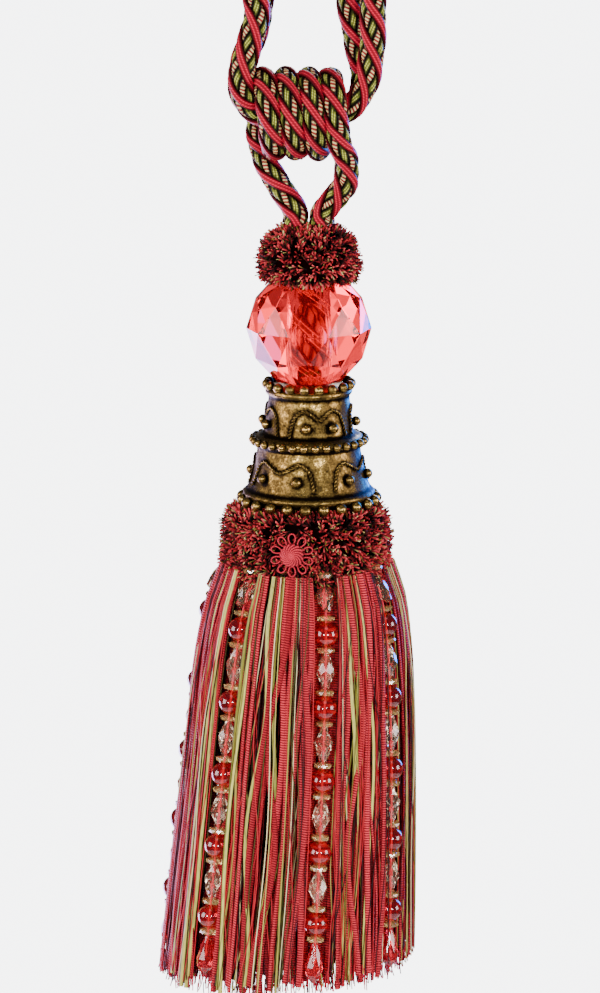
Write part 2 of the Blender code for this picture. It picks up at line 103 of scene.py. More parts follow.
ROUTE_STEP = 1.1 * MM
TIGHTEST_YARN = 0.93  # the least that the knot thins a yarn, as a share of its full size
STEM_LEAD = 0.034  # length of one turn of the rope in the ball

# Skirt and strings of beads, as the frame's solids hang.
SKIRT_X = -1.2 * MM
HEAD_Z = -247.6 * MM
HEAD_R = 31.0 * MM
HEAD_OUTLINE_MM = ((12.0, -246.3), (27.0, -246.4), (27.0, -248.4), (12.0, -248.6))
HEM_Z = -393.8 * MM
HEM_TILT = 2.8 * MM
SKIRT_FLARE = 15.8 * MM
SKIRT_FLARE_POWER = 0.45
SKIRT_LEAN = 7.4 * MM
SKIRT_LEAN_POWER = 1.2
HEM_DEPTH = 0.92
STRING_AZIMUTHS = (-97.0, -42.0, 13.0, 58.0, 108.0, 160.0, 212.0)
STRING_TOP_R = 28.6 * MM
STRING_PERIOD = 26.3 * MM
STRING_REPEATS = 5
FIRST_ROUND_BEAD_Z = -263.2 * MM

# Strands: how they keep clear of the strings, draw together and vary.
STRING_HALF_SLOT = 4.5 * MM
STRING_SLOT_DEPTH = 6.5 * MM
FACE_DEPTH = 2.2 * MM
START_SHARE = -0.03
CLUMP = 14.0  # degrees between the azimuths that strands draw towards
CLUMP_PULL = (0.05, 0.42)  # share of the way there, at the hem
WAVES = (0.5, 1.6)  # sways down a strand
FACE_LIFT_MM = 1.2  # the most that a strand stands out near the top
BULGE = (0.10, 0.35)  # share of the length at which it stands out most
CLEAR_OF_STRING = 7.0  # degrees from a string, where a strand in the face is left out
LIT_BY_SLOT = 12.0  # degrees from a string, where light reaches the strands behind it
BEHIND_SLOT = 0.3 * MM  # from the slot to the strands that fill it
FACE_LENGTH, INNER_LENGTH, LENGTH_SPREAD = 1.004, 0.995, 0.035  # shares of the skirt's length
RIBBON_AZIMUTHS = (
    -53.0, -32.0, -18.0, -5.0, 24.0, 33.0, 92.0, 122.0, 143.0, 178.0, 196.0, 226.0, 246.0)
RIBBON_SPREAD = 5.0  # degrees
FRAY_START_SHARES = (0.950, 0.985)
FRAYS, FRAY_DEPTH_MM, FRAY_LENGTH_MM = 800, 7.0, 6.2
BACKING_OFFSETS = (-6.4, -3.2, 0.0, 3.2, 6.4)  # degrees
DOWN = Vector((0.0, 0.0, -1.0))

# Beads, as radius and height in millimetres from the bead's middle, and their distances along a
# string from the middle of a round bead.
ROUND_BEAD_R_MM = 4.35
LONG_BEAD_MM = ((1.1, 6.2), (2.2, 3.6), (3.2, 0.9), (3.2, -0.9), (2.2, -3.6), (1.1, -6.2))
RONDELLE_MM = ((1.6, 1.15), (3.2, 0.55), (3.2, -0.55), (1.6, -1.15))
DROP_MM = ((1.0, 7.3), (2.2, 3.8), (3.3, -1.2), (3.1, -4.0), (1.0, -7.2))
TO_RONDELLE = 5.6 * MM
TO_LONG_BEAD = 13.1 * MM
TO_TOP_RONDELLE = 20.6 * MM
TO_DROP = 14.6 * MM
THREAD_POINTS = 40
STRING_HEAD_Z = HEAD_Z - 0.6 * MM
THREAD_TOP_Z = HEAD_Z - 0.3 * MM
SPIN_BY_STRING, SPIN_BY_HEIGHT = 0.7, 900  # radians

# The photograph's camera: 600 by 993 pixels, looking down on the tassel's middle.
PHOTO_WIDTH, PHOTO_HEIGHT = 600, 993
FOCAL_PIXELS = 4167.0
AIM = Vector((-0.0014, 0.0, -0.220))
AIM_PIXEL = (305.0, 496.0)
CAMERA_DISTANCE = 1.5
CAMERA_PITCH = math.radians(12.0)
SENSOR_HEIGHT_MM = 24.0
FLOOR_R, FLOOR_Z = 0.9, -0.95


def hex_colour(code):
    """An sRGB hex colour as linear red, green and blue."""
    values = (int(code[k:k + 2], 16) / 255 for k in (1, 3, 5))
    return tuple(v / 12.92 if v <= 0.04045 else ((v + 0.055) / 1.055) ** 2.4 for v in values)


# ---------------------------------------------------------------- properties

def size_property(name, description, default, least):
    return FloatProperty(name=name, description=description, default=default, min=least, unit="LENGTH")


def colour_property(name, description, code):
    return FloatVectorProperty(name=name, description=description, default=hex_colour(code),
                               subtype="COLOR", size=3, min=0.0, max=1.0)


class TasselSizes(bpy.types.PropertyGroup):
    """Sizes in metres and numbers of the yarns and pile."""

    rope_diameter: size_property(
        "Rope Diameter", "Over the red cords, where the rope isn't pulled tight", 0.009, 0.004)
    rope_lead: size_property(
        "Rope Lead", "Length of one full turn of the rope's strands", 0.043, 0.02)
    tight_lead: size_property(
        "Tight Lead", "The same in the knot, where the rope is pulled thin", 0.0336, 0.02)
    ply_lead: size_property(
        "Ply Lead", "Length of one turn of the plies inside a strand", 0.0130, 0.006)
    pile_spacing: size_property(
        "Pile Spacing", "Distance between cut tufts in the ruffs", 0.00128, 0.0008)
    gimp_count: IntProperty(
        name="Gimp Tapes", description="Ribbed tapes in the skirt", default=350, min=20)
    ribbon_count: IntProperty(
        name="Ribbons", description="Satin ribbons in the skirt", default=60, min=10)
    thread_count: IntProperty(
        name="Threads", description="Fine threads in the skirt", default=460, min=10)


class TasselColours(bpy.types.PropertyGroup):
    """Colours of the yarns, beads and brass."""

    red: colour_property("Red Satin", "Satin cords in the rope", "#58121A")
    green: colour_property("Green Satin", "Satin plies in the rope", "#3E4022")
    cream: colour_property("Cream Gimp", "Light checks in the rope's gimp", "#F0D890")
    gimp: colour_property("Gimp Tape", "Ribbed tapes of the skirt", "#9A222A")
    ribbon: colour_property("Ribbon", "Satin ribbons of the skirt", "#F6F07C")
    ball: colour_property("Acrylic Ball", "Tint of the faceted ball", "#E42A2E")
    brass: colour_property("Brass", "Rubbed faces of the cap", "#B4924E")


# ---------------------------------------------------------------- nodes and meshes

def feed(tree, node, inputs):
    """Set or link a node's inputs, by name or number; a node as a value stands for its first output."""
    for key, value in inputs.items():
        if isinstance(value, bpy.types.Node):
            value = value.outputs[0]
        if isinstance(value, bpy.types.NodeSocket):
            tree.links.new(value, node.inputs[key])
        else:
            node.inputs[key].default_value = value


def add(tree, kind, inputs=None, stops=(), **settings):
    """A node with its settings and what feeds it; stops are a colour ramp's positions and colours."""
    node = tree.nodes.new(kind)
    for name, value in settings.items():
        setattr(node, name, value)
    for k, (position, colour) in enumerate(stops):
        points = node.color_ramp.elements
        point = points[k] if k < 2 else points.new(position)
        point.position, point.color = position, (*colour, 1.0)
    feed(tree, node, inputs or {})
    return node


def new_tree(name, sockets):
    """A geometry tree with its named inputs, each a name, a socket type and a default."""
    tree = bpy.data.node_groups.new(name, "GeometryNodeTree")
    tree.interface.new_socket("Geometry", in_out="INPUT", socket_type="NodeSocketGeometry")
    for label, kind, default in sockets:
        socket = tree.interface.new_socket(label, in_out="INPUT", socket_type=kind)
        if default is not None:
            socket.default_value = default
    tree.interface.new_socket("Geometry", in_out="OUTPUT", socket_type="NodeSocketGeometry")
    return tree, add(tree, "NodeGroupInput").outputs


def finish_tree(tree, geometry):
    """Join, smooth and realise a tree's branches into its output."""
    joined = add(tree, "GeometryNodeJoinGeometry")
    for branch in reversed(geometry):
        tree.links.new(branch, joined.inputs[0])
    smooth = add(tree, "GeometryNodeSetShadeSmooth", {"Geometry": joined})
    real = add(tree, "GeometryNodeRealizeInstances", {"Geometry": smooth})
    add(tree, "NodeGroupOutput", {0: real})


def placed(name, data):
    """A new object of some data, in the scene and at the origin."""
    made = bpy.data.objects.new(name, data)
    bpy.context.collection.objects.link(made)
    return made


def applied(thing, step):
    """An object's mesh with a modifier applied; the modifier comes off the object."""
    bpy.context.view_layer.update()
    evaluated = thing.evaluated_get(bpy.context.evaluated_depsgraph_get())
    mesh = bpy.data.meshes.new_from_object(evaluated)
    thing.modifiers.remove(step)
    return mesh


def run_tree(name, source, tree, values):
    """Run a geometry tree on an object and keep the result as a plain mesh at the origin."""
    step = source.modifiers.new(tree.name, "NODES")
    step.node_group = tree
    sockets = {item.name: item.identifier for item in tree.interface.items_tree
               if item.in_out == "INPUT"}
    for label, value in values.items():
        step[sockets[label]] = value
    mesh = applied(source, step)
    mesh.name = name
    discard(source)
    return placed(name, mesh)


def paths_object(name, rows):
    """Paths as chains of edges; a path is a list of place, facing, size and the depth behind the face that
    sets its painted shade.
    """
    mesh = bpy.data.meshes.new(name)
    points = [point for row in rows for point in row]
    edges, first = [], 0
    for row in rows:
        edges += [(first + k, first + k + 1) for k in range(len(row) - 1)]
        first += len(row)
    mesh.from_pydata([point[0] for point in points], edges, [])
    facing = mesh.attributes.new("facing", "FLOAT_VECTOR", "POINT")
    facing.data.foreach_set("vector", [part for point in points for part in point[1]])
    for label, column in (("size", 2), ("inset", 3)):
        values = mesh.attributes.new(label, "FLOAT", "POINT")
        values.data.foreach_set("value", [point[column] for point in points])
    return placed(name, mesh)


def profile_object(name, points):
    """A closed curve for a yarn's section: outward is its X and across is its Y."""
    curve = bpy.data.curves.new(name, "CURVE")
    curve.dimensions = "3D"
    spline = curve.splines.new("POLY")
    spline.points.add(len(points) - 1)
    spline.use_cyclic_u = True
    for point, (out, across) in zip(spline.points, points):
        point.co = (out, across, 0.0, 1.0)
    return placed(name, curve)


def mesh_object(name, mesh_builder, materials=(), smooth=True):
    """A mesh object from a bmesh, its faces outward; with smooth None each face keeps its own."""
    bmesh.ops.recalc_face_normals(mesh_builder, faces=mesh_builder.faces)
    mesh = bpy.data.meshes.new(name)
    mesh_builder.to_mesh(mesh)
    mesh_builder.free()
    for surface in materials:
        mesh.materials.append(surface)
    if smooth is not None:
        (mesh.shade_smooth if smooth else mesh.shade_flat)()
    return placed(name, mesh)


def keep(piece, slot, *nodes):
    """The piece rides with the tassel and hides the CAD nodes that it stands for; slot is not used."""
    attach(piece, "root")
    if nodes:
        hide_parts(*nodes)


def discard(*things):
    """Remove objects that only helped to make a piece."""
    for thing in things:
        bpy.data.objects.remove(thing, do_unlink=True)


def around(azimuth, radius, z, centre_x=0.0, depth=1.0):
    """A point at an azimuth in degrees, from the front towards the right."""
    turn = math.radians(azimuth)
    return Vector((centre_x + radius * math.sin(turn), -depth * radius * math.cos(turn), z))


def oval(name, thick, wide, sides):
    """The section of a round or flat yarn."""
    turns = [math.tau * (k + 0.5) / sides for k in range(sides)]
    return profile_object(name, [(thick / 2 * math.cos(t), wide / 2 * math.sin(t)) for t in turns])


def pair(name, thick, apart):
    """The section of a plump yarn of two plies pressed together, with a shallow seam between them."""
    seam = 0.99 * math.acos(-apart / thick)
    points = []
    for side in (1, -1):
        for share in (-1.0, -0.68, -0.34, 0.0, 0.34, 0.68, 1.0):
            points.append((-side * thick / 2 * math.sin(seam * share),
                           side * (apart / 2 + thick / 2 * math.cos(seam * share))))
    return profile_object(name, points)


# ---------------------------------------------------------------- materials

def new_material(name, **plain):
    """A Principled material; plain maps a socket's name, with _ for a space, to its value."""
    made = bpy.data.materials.new(name)
    made.use_nodes = True
    shader = made.node_tree.nodes["Principled BSDF"]
    feed(made.node_tree, shader, {key.replace("_", " "): value for key, value in plain.items()})
    return made, made.node_tree, shader


def laid_threads(tree, pitch, skew):
    """Fine threads that cross a yarn at a slant: a wave from 0 to 1 along and across it."""
    along = add(tree, "ShaderNodeAttribute", attribute_name="along")
    across = add(tree, "ShaderNodeAttribute", attribute_name="across")
    pitches = add(tree, "ShaderNodeMath", {0: along.outputs["Fac"], 1: 1 / pitch}, operation="MULTIPLY")
    slant = add(tree, "ShaderNodeMath", {0: across.outputs["Fac"], 1: skew, 2: pitches},
                operation="MULTIPLY_ADD")
    turns = add(tree, "ShaderNodeMath", {0: slant, 1: math.tau}, operation="MULTIPLY")
    wave = add(tree, "ShaderNodeMath", {0: turns}, operation="SINE")
    return add(tree, "ShaderNodeMath", {0: wave, 1: 0.5, 2: 0.5},
               operation="MULTIPLY_ADD").outputs[0]


def shaded(tree, colour, factor, low, high, dark):
    """The colour goes to a dark one as factor falls from high to low."""
    share = add(tree, "ShaderNodeMapRange", {"Value": factor, "From Min": low, "From Max": high},
                interpolation_type="SMOOTHSTEP")
    mixed = add(tree, "ShaderNodeMix", {0: share, 6: (*dark, 1.0), 7: colour},
                data_type="RGBA")
    return mixed.outputs[2]


def satin_cord(name, painted_highlight, light, mid, dark, pitch):
    """Rayon satin: bright filaments wound close round a core.

    Its colour is painted light and shade: a painted highlight along the crest of each cord, falling to
    painted shade near black in the grooves.
    """
    made, tree, shader = new_material(name, Roughness=0.40, Specular_IOR_Level=0.35,
                                      Specular_Tint=(*light, 1.0))
    threads = laid_threads(tree, pitch, 0.5)
    # The attribute read here is painted light and shade: 0 in the grooves, 1 on the crest.
    crest = add(tree, "ShaderNodeAttribute", attribute_name="open")
    level = add(tree, "ShaderNodeMath", {0: threads, 1: 0.10, 2: crest.outputs["Fac"]},
                operation="MULTIPLY_ADD")
    colour = add(tree, "ShaderNodeValToRGB", {"Fac": level},
                 stops=((0.10, dark), (1.00, painted_highlight), (0.52, mid), (0.84, light)))
    relief = add(tree, "ShaderNodeBump", {"Height": threads, "Strength": 0.25, "Distance": 0.15 * MM})
    feed(tree, shader, {"Base Color": colour.outputs["Color"], "Normal": relief})
    return made


def checked_gimp(name, cream, red, dark):
    """Gimp: two colours of rayon wound in turn over a core, which shows as small checks."""
    made, tree, shader = new_material(name, Roughness=0.6, Specular_IOR_Level=0.25)
    stripes = laid_threads(tree, 1.15 * MM, 0.25)
    colour = add(tree, "ShaderNodeValToRGB", {"Fac": stripes},
                 stops=((0.46, red), (0.76, cream), (0.60, tuple(0.5 * c for c in cream))))
    # Painted shade: the checks fall to near black in the grooves and at the yarn's edges.
    crest = add(tree, "ShaderNodeAttribute", attribute_name="open")
    shade = shaded(tree, colour.outputs["Color"], crest.outputs["Fac"], 0.10, 0.80, dark)
    relief = add(tree, "ShaderNodeBump", {"Height": stripes, "Strength": 0.6, "Distance": 0.25 * MM})
    feed(tree, shader, {"Base Color": shade, "Normal": relief})
    return made


def cut_pile(name, reds, flecks):
    """Cut chenille ends: matt fibres with painted shade, near black towards their roots between them and
    bright where they are cut.
    """
    made, tree, shader = new_material(name, Roughness=0.75, Specular_IOR_Level=0.2)
    shade, fleck, tip, tone = (add(tree, "ShaderNodeAttribute", attribute_name=label)
                               for label in ("shade", "fleck", "tip", "tone"))
    level = add(tree, "ShaderNodeMath", {0: shade.outputs["Fac"], 1: tone.outputs["Fac"]},
                operation="ADD")
    red = add(tree, "ShaderNodeValToRGB", {"Fac": level}, stops=reds)
    pale = add(tree, "ShaderNodeValToRGB", {"Fac": level}, stops=flecks)
    own = add(tree, "ShaderNodeMix", {0: fleck.outputs["Fac"], 6: red, 7: pale}, data_type="RGBA")
    # Painted shade: each fibre darkens to near black towards its root.
    colour = shaded(tree, own.outputs[2], tip.outputs["Fac"], 0.30, 1.0, hex_colour("#0E0102"))
    feed(tree, shader, {"Base Color": colour})
    return made


def ribbed_gimp(name, light, mid, dark, deep_shade):
    """Gimp tape: rayon wound flat over cords, so that it is ribbed across; painted shade darkens its edges
    and its inner side.
    """
    made, tree, shader = new_material(name, Roughness=0.45, Specular_IOR_Level=0.3,
                                      Specular_Tint=(*light, 1.0))
    ribs = laid_threads(tree, 0.9 * MM, 0.12)
    shade, out, inset = (add(tree, "ShaderNodeAttribute", attribute_name=label)
                         for label in ("shade", "out", "inset"))
    own = add(tree, "ShaderNodeMix", {0: shade.outputs["Fac"], 6: (*mid, 1.0), 7: (*light, 1.0)},
              data_type="RGBA")
    colour = shaded(tree, own.outputs[2], ribs, -0.05, 0.85, dark)
    # Painted shade at the tape's edges and inner side, and on tapes that lie further behind the face.
    colour = shaded(tree, colour, out.outputs["Fac"], -0.12, 0.38, dark)
    colour = shaded(tree, colour, inset.outputs["Fac"], 6.5 * MM, 0.8 * MM, deep_shade)
    relief = add(tree, "ShaderNodeBump", {"Height": ribs, "Strength": 0.8, "Distance": 0.3 * MM})
    feed(tree, shader, {"Base Color": colour, "Normal": relief})
    return made


def satin_ribbon(name, light, dark, deep_shade):
    """Narrow rayon ribbon: fine warp threads along it and a soft satin gloss."""
    made, tree, shader = new_material(name, Roughness=0.45, Specular_IOR_Level=0.35)
    shade = add(tree, "ShaderNodeAttribute", attribute_name="shade")
    inset = add(tree, "ShaderNodeAttribute", attribute_name="inset")
    own = add(tree, "ShaderNodeMix", {0: shade.outputs["Fac"], 6: (*dark, 1.0), 7: (*light, 1.0)},
              data_type="RGBA")
    place = add(tree, "ShaderNodeTexCoord").outputs["Object"]
    drawn = add(tree, "ShaderNodeVectorMath", {0: place, 1: (1.0, 1.0, 0.08)}, operation="MULTIPLY")
    grain = add(tree, "ShaderNodeTexNoise", {"Vector": drawn, "Scale": 2600.0, "Detail": 2.0})
    colour = shaded(tree, own.outputs[2], grain.outputs[0], 0.15, 0.55, dark)
    # Painted shade at the ribbon's edges, and on ribbons that lie further behind the face.
    across = add(tree, "ShaderNodeAttribute", attribute_name="across")
    side = add(tree, "ShaderNodeMath", {0: across.outputs["Fac"]}, operation="ABSOLUTE")
    colour = shaded(tree, colour, side.outputs[0], 0.85, 0.40, deep_shade)
    colour = shaded(tree, colour, inset.outputs["Fac"], 6.5 * MM, 0.8 * MM, deep_shade)
    relief = add(tree, "ShaderNodeBump", {"Height": grain, "Strength": 0.3,
                                          "Distance": 0.1 * MM})
    feed(tree, shader, {"Base Color": colour, "Normal": relief})
    return made


def plain_thread(name, colours, deep_shade):
    """Twisted sewing thread in a few colours, with painted shade where it lies behind."""
    made, tree, shader = new_material(name, Roughness=0.55, Specular_IOR_Level=0.3)
    shade = add(tree, "ShaderNodeAttribute", attribute_name="shade")
    inset = add(tree, "ShaderNodeAttribute", attribute_name="inset")
    own = add(tree, "ShaderNodeValToRGB", {"Fac": shade.outputs["Fac"]}, stops=colours)
    own.color_ramp.interpolation = "CONSTANT"
    colour = shaded(tree, own.outputs["Color"], inset.outputs["Fac"], 6.0 * MM, 1.0 * MM, deep_shade)
    feed(tree, shader, {"Base Color": colour})
    return made


def cast_acrylic(name, tint):
    """Cast acrylic, clear and tinted all through, with flat facets that mirror the windows."""
    return new_material(name, Base_Color=(*tint, 1.0), Roughness=0.02, IOR=1.40,
                        Transmission_Weight=0.95)[0]


def drilled_acrylic(name, tint):
    """The wall of the bore, left less clear by the drill and tinted darker than the ball as painted shade,
    which shows as a darker tube in the ball.
    """
    return new_material(name, Base_Color=(*tint, 1.0), Roughness=0.05, IOR=1.40,
                        Transmission_Weight=0.92)[0]


def bead_glass(name, tint, clear, bending):
    """Pressed and fire-polished glass, a little cloudy inside, so that it keeps its own colour."""
    return new_material(name, Base_Color=(*tint, 1.0), Roughness=0.04, IOR=bending,
                        Transmission_Weight=clear, Coat_Weight=1.0, Coat_Roughness=0.03)[0]


def aged_brass(name, rubbed, dark):
    """Cast brass, darkened with patina and rubbed back, with painted shade added to the patina, so that
    hollows stay near black.
    """
    made, tree, shader = new_material(name, Metallic=1.0, Roughness=0.38)
    place = add(tree, "ShaderNodeTexCoord").outputs["Object"]
    mottle = add(tree, "ShaderNodeTexNoise", {"Vector": place, "Scale": 190.0, "Detail": 6.0,
                                              "Roughness": 0.7})
    pits = add(tree, "ShaderNodeTexNoise", {"Vector": place, "Scale": 1500.0, "Detail": 3.0})
    mixed = add(tree, "ShaderNodeMath", {0: pits, 1: 0.45, 2: mottle},
                operation="MULTIPLY_ADD")
    patina_and_shade = add(tree, "ShaderNodeAttribute", attribute_name="patina_and_shade")
    level = add(tree, "ShaderNodeMath", {0: mixed, 1: patina_and_shade.outputs["Fac"]},
                operation="SUBTRACT")
    mid = tuple(0.25 * a + 0.75 * b for a, b in zip(rubbed, dark))
    colour = add(tree, "ShaderNodeValToRGB", {"Fac": level},
                 stops=((0.47, dark), (0.90, rubbed), (0.71, mid)))
    rough = add(tree, "ShaderNodeMapRange", {"Value": level, "From Min": 0.50,
                                             "From Max": 0.88, "To Min": 0.62, "To Max": 0.24})
    relief = add(tree, "ShaderNodeBump", {"Height": mixed, "Strength": 0.5,
                                          "Distance": 0.30 * MM})
    feed(tree, shader, {"Base Color": colour.outputs["Color"], "Roughness": rough, "Normal": relief})
    return made


# ---------------------------------------------------------------- stage

class TASSEL_OT_stage(bpy.types.Operator):
    """Add the camera at the photograph's angle, soft lights, a pale surround and a floor"""

    bl_idname = "tassel.stage"
    bl_label = "Stage"

    def execute(self, context):
        camera = bpy.data.cameras.new("camera")
        camera.sensor_fit = "VERTICAL"
        camera.sensor_height = SENSOR_HEIGHT_MM
        camera.lens = FOCAL_PIXELS / PHOTO_HEIGHT * SENSOR_HEIGHT_MM
        camera.shift_x = (PHOTO_WIDTH / 2 - AIM_PIXEL[0]) / PHOTO_HEIGHT
        camera.shift_y = (AIM_PIXEL[1] - PHOTO_HEIGHT / 2) / PHOTO_HEIGHT
        camera.clip_start = 0.05
        viewer = placed("camera", camera)
        back = Vector((0.0, math.cos(CAMERA_PITCH), -math.sin(CAMERA_PITCH)))
        viewer.location = AIM - back * CAMERA_DISTANCE
        viewer.rotation_euler = (math.pi / 2 - CAMERA_PITCH, 0.0, 0.0)
        context.scene.camera = viewer
        self.lights()
        self.surround(context)
        self.floor()
        return {"FINISHED"}

    def lights(self):
        """Soft boxes all round, and two that show only in glossy and clear things."""
        rows = (
            # name, azimuth, elevation, distance, size, power, colour, whether it lights matt things
            ("left_box", -68, 10, 1.3, 0.80, 18.0, "#FFF2F2", True),
            ("right_box", 72, 6, 1.4, 0.70, 18.0, "#FFF2F2", True),
            ("front_left_box", -22, 8, 1.6, 0.28, 14.0, "#FFFFFF", True),
            ("front_right_box", 18, 10, 1.6, 0.28, 13.0, "#FFFFFF", True),
            ("back_box", 172, 20, 1.6, 0.60, 9.0, "#FFFFFF", True),
            ("top_box", 10, 72, 1.2, 0.50, 1.0, "#FFFFFF", True),
            ("blue_window", 148, 8, 1.1, 0.60, 26.0, "#1E74F0", False),
            ("lilac_window", -136, -30, 1.1, 0.85, 34.0, "#D8C4FF", False),
        )
        for name, azimuth, height, distance, size, power, colour, matt in rows:
            light = bpy.data.lights.new(name, "AREA")
            light.size = size
            light.energy = power
            light.color = hex_colour(colour)
            lamp = placed(name, light)
            rise = math.radians(height)
            lamp.location = AIM + around(azimuth, distance * math.cos(rise), distance * math.sin(rise))
            lamp.rotation_euler = (AIM - lamp.location).to_track_quat("-Z", "Y").to_euler()
            lamp.visible_camera = False
            lamp.visible_diffuse = matt

    def surround(self, context):
        """A pale room, bright behind the tassel and through glass, dim where it lights cloth."""
        world = bpy.data.worlds.new("room")
        world.use_nodes = True
        context.scene.world = world
        tree = world.node_tree
        path = add(tree, "ShaderNodeLightPath")
        seen = add(tree, "ShaderNodeMath", {0: path.outputs["Is Camera Ray"], 1: 6.4, 2: 0.08},
                   operation="MULTIPLY_ADD")
        heading = add(tree, "ShaderNodeTexCoord").outputs["Generated"]
        walls = add(tree, "ShaderNodeTexNoise", {"Vector": heading, "Scale": 2.4, "Detail": 0.0})
        window = add(tree, "ShaderNodeMapRange", {"Value": walls, "From Min": 0.36,
                                                  "From Max": 0.64, "To Min": 0.5, "To Max": 5.4})
        through = add(tree, "ShaderNodeMath", {0: path.outputs["Is Transmission Ray"],
                                               1: window, 2: seen},
                      operation="MULTIPLY_ADD")
        feed(tree, tree.nodes["Background"], {"Color": (*hex_colour("#F6F7F9"), 1.0), "Strength": through})

    def floor(self):
        """Matt pale paint, a little cloudy, so that the floor doesn't look flat."""
        paint, tree, shader = new_material("matt_floor_paint", Roughness=0.9)
        place = add(tree, "ShaderNodeTexCoord").outputs["Object"]
        cloud = add(tree, "ShaderNodeTexNoise", {"Vector": place, "Scale": 3.0})
        shade = add(tree, "ShaderNodeValToRGB", {"Fac": cloud},
                    stops=((0.3, hex_colour("#E6E7E9")), (0.7, hex_colour("#EEEFF1"))))
        feed(tree, shader, {"Base Color": shade.outputs["Color"]})
        mesh_builder = bmesh.new()
        bmesh.ops.create_circle(mesh_builder, cap_ends=True, segments=96, radius=FLOOR_R,
                                matrix=Matrix.Translation((0.0, 0.0, FLOOR_Z)))
        mesh_object("floor", mesh_builder, [paint], smooth=False)


# ---------------------------------------------------------------- yarns and ropes

FINE_STEPS = 24
# Distances from the rope's middle at which a yarn's painted shade is darkest and its painted light full,
# and its crest's height.
CORD_PAINTED_LIGHT_MM = (3.6, 4.72, 1.02)
PLY_PAINTED_LIGHT_MM = (3.4, 4.42, 0.73)
# Shares of the crest over which painted shade turns to painted light.
CREST_FROM, CREST_TO = 0.34, 1.18  # shares of the crest


def smooth_route(points, step):
    """Points about a step apart on a Catmull-Rom curve through a route's own points."""
    ends = [2 * points[0] - points[1], *points, 2 * points[-1] - points[-2]]
    fine = []
    for a, b, c, d in zip(ends, ends[1:], ends[2:], ends[3:]):
        for k in range(FINE_STEPS):
            t = k / FINE_STEPS
            fine.append(0.5 * (2 * b + (c - a) * t + (2 * a - 5 * b + 4 * c - d) * t * t
                               + (3 * b - a - 3 * c + d) * t * t * t))
    fine.append(ends[-2])
    along = [0.0]
    for a, b in zip(fine, fine[1:]):
        along.append(along[-1] + (b - a).xyz.length)
    count = max(2, round(along[-1] / step))
    spaced, k = [], 0
    for wanted in (along[-1] * n / count for n in range(count + 1)):
        while k < len(along) - 2 and along[k + 1] < wanted:
            k += 1
        share = (wanted - along[k]) / (along[k + 1] - along[k])
        spaced.append(fine[k].lerp(fine[k + 1], min(1.0, share)))
    return spaced


def hanging_route():
    """The turns rise at the back and come down in front, between the two legs."""
    turns = []
    for angle in range(WIND_FROM, WIND_TO + 1, WIND_STEP):
        turn = math.radians(angle)
        x = WIND_FIRST_X_MM + WIND_PITCH_MM * (angle - 270) / 360
        turns.append((x, WIND_R_MM * math.sin(turn), WIND_Z_MM - WIND_R_MM * math.cos(turn), WOUND_R_MM))
    return (*LEFT_LEG_MM, *turns, *RIGHT_LEG_MM)


def lay_round(tree, curve, facing, ahead, count, turned, distance):
    """Copies of a curve moved out side by side round it; gives them and where each one faces."""
    copies = add(tree, "GeometryNodeDuplicateElements", {"Geometry": curve, "Amount": count},
                 domain="SPLINE")
    angle = add(tree, "ShaderNodeMath", {0: copies.outputs["Duplicate Index"], 1: math.tau / count,
                                         2: turned}, operation="MULTIPLY_ADD")
    outward = add(tree, "ShaderNodeVectorRotate", {"Vector": facing, "Axis": ahead,
                                                   "Angle": angle})
    shift = add(tree, "ShaderNodeVectorMath", {0: outward, "Scale": distance},
                operation="SCALE")
    moved = add(tree, "GeometryNodeSetPosition", {"Geometry": copies.outputs["Geometry"],
                                                  "Offset": shift})
    return moved.outputs[0], outward.outputs[0]


def profile_geometry(tree, socket):
    """A profile object's curve, with how far across the yarn and how far out its points are."""
    curve = add(tree, "GeometryNodeObjectInfo", {"Object": socket}).outputs["Geometry"]
    place = add(tree, "GeometryNodeInputPosition")
    apart = add(tree, "ShaderNodeSeparateXYZ", {0: place})
    for name, column in (("across", 1), ("out", 0)):
        size = add(tree, "ShaderNodeMath", {0: apart.outputs[column], 1: 1 / MM}, operation="MULTIPLY")
        curve = add(tree, "GeometryNodeStoreNamedAttribute",
                    {"Geometry": curve, "Name": name, "Value": size}).outputs[0]
    return curve


def sweep(tree, curve, profile, facing, size, along, surface):
    """A yarn of a profile along a curve, facing one way, with its length stored along it."""
    faced = add(tree, "GeometryNodeSetCurveNormal", {"Curve": curve, "Normal": facing}, mode="FREE")
    measured = add(tree, "GeometryNodeStoreNamedAttribute",
                   {"Geometry": faced, "Name": "along", "Value": along})
    tube = add(tree, "GeometryNodeCurveToMesh", {"Curve": measured, "Profile Curve": profile,
                                                 "Scale": size, "Fill Caps": True})
    return add(tree, "GeometryNodeSetMaterial", {"Geometry": tube,
                                                 "Material": surface}).outputs[0]


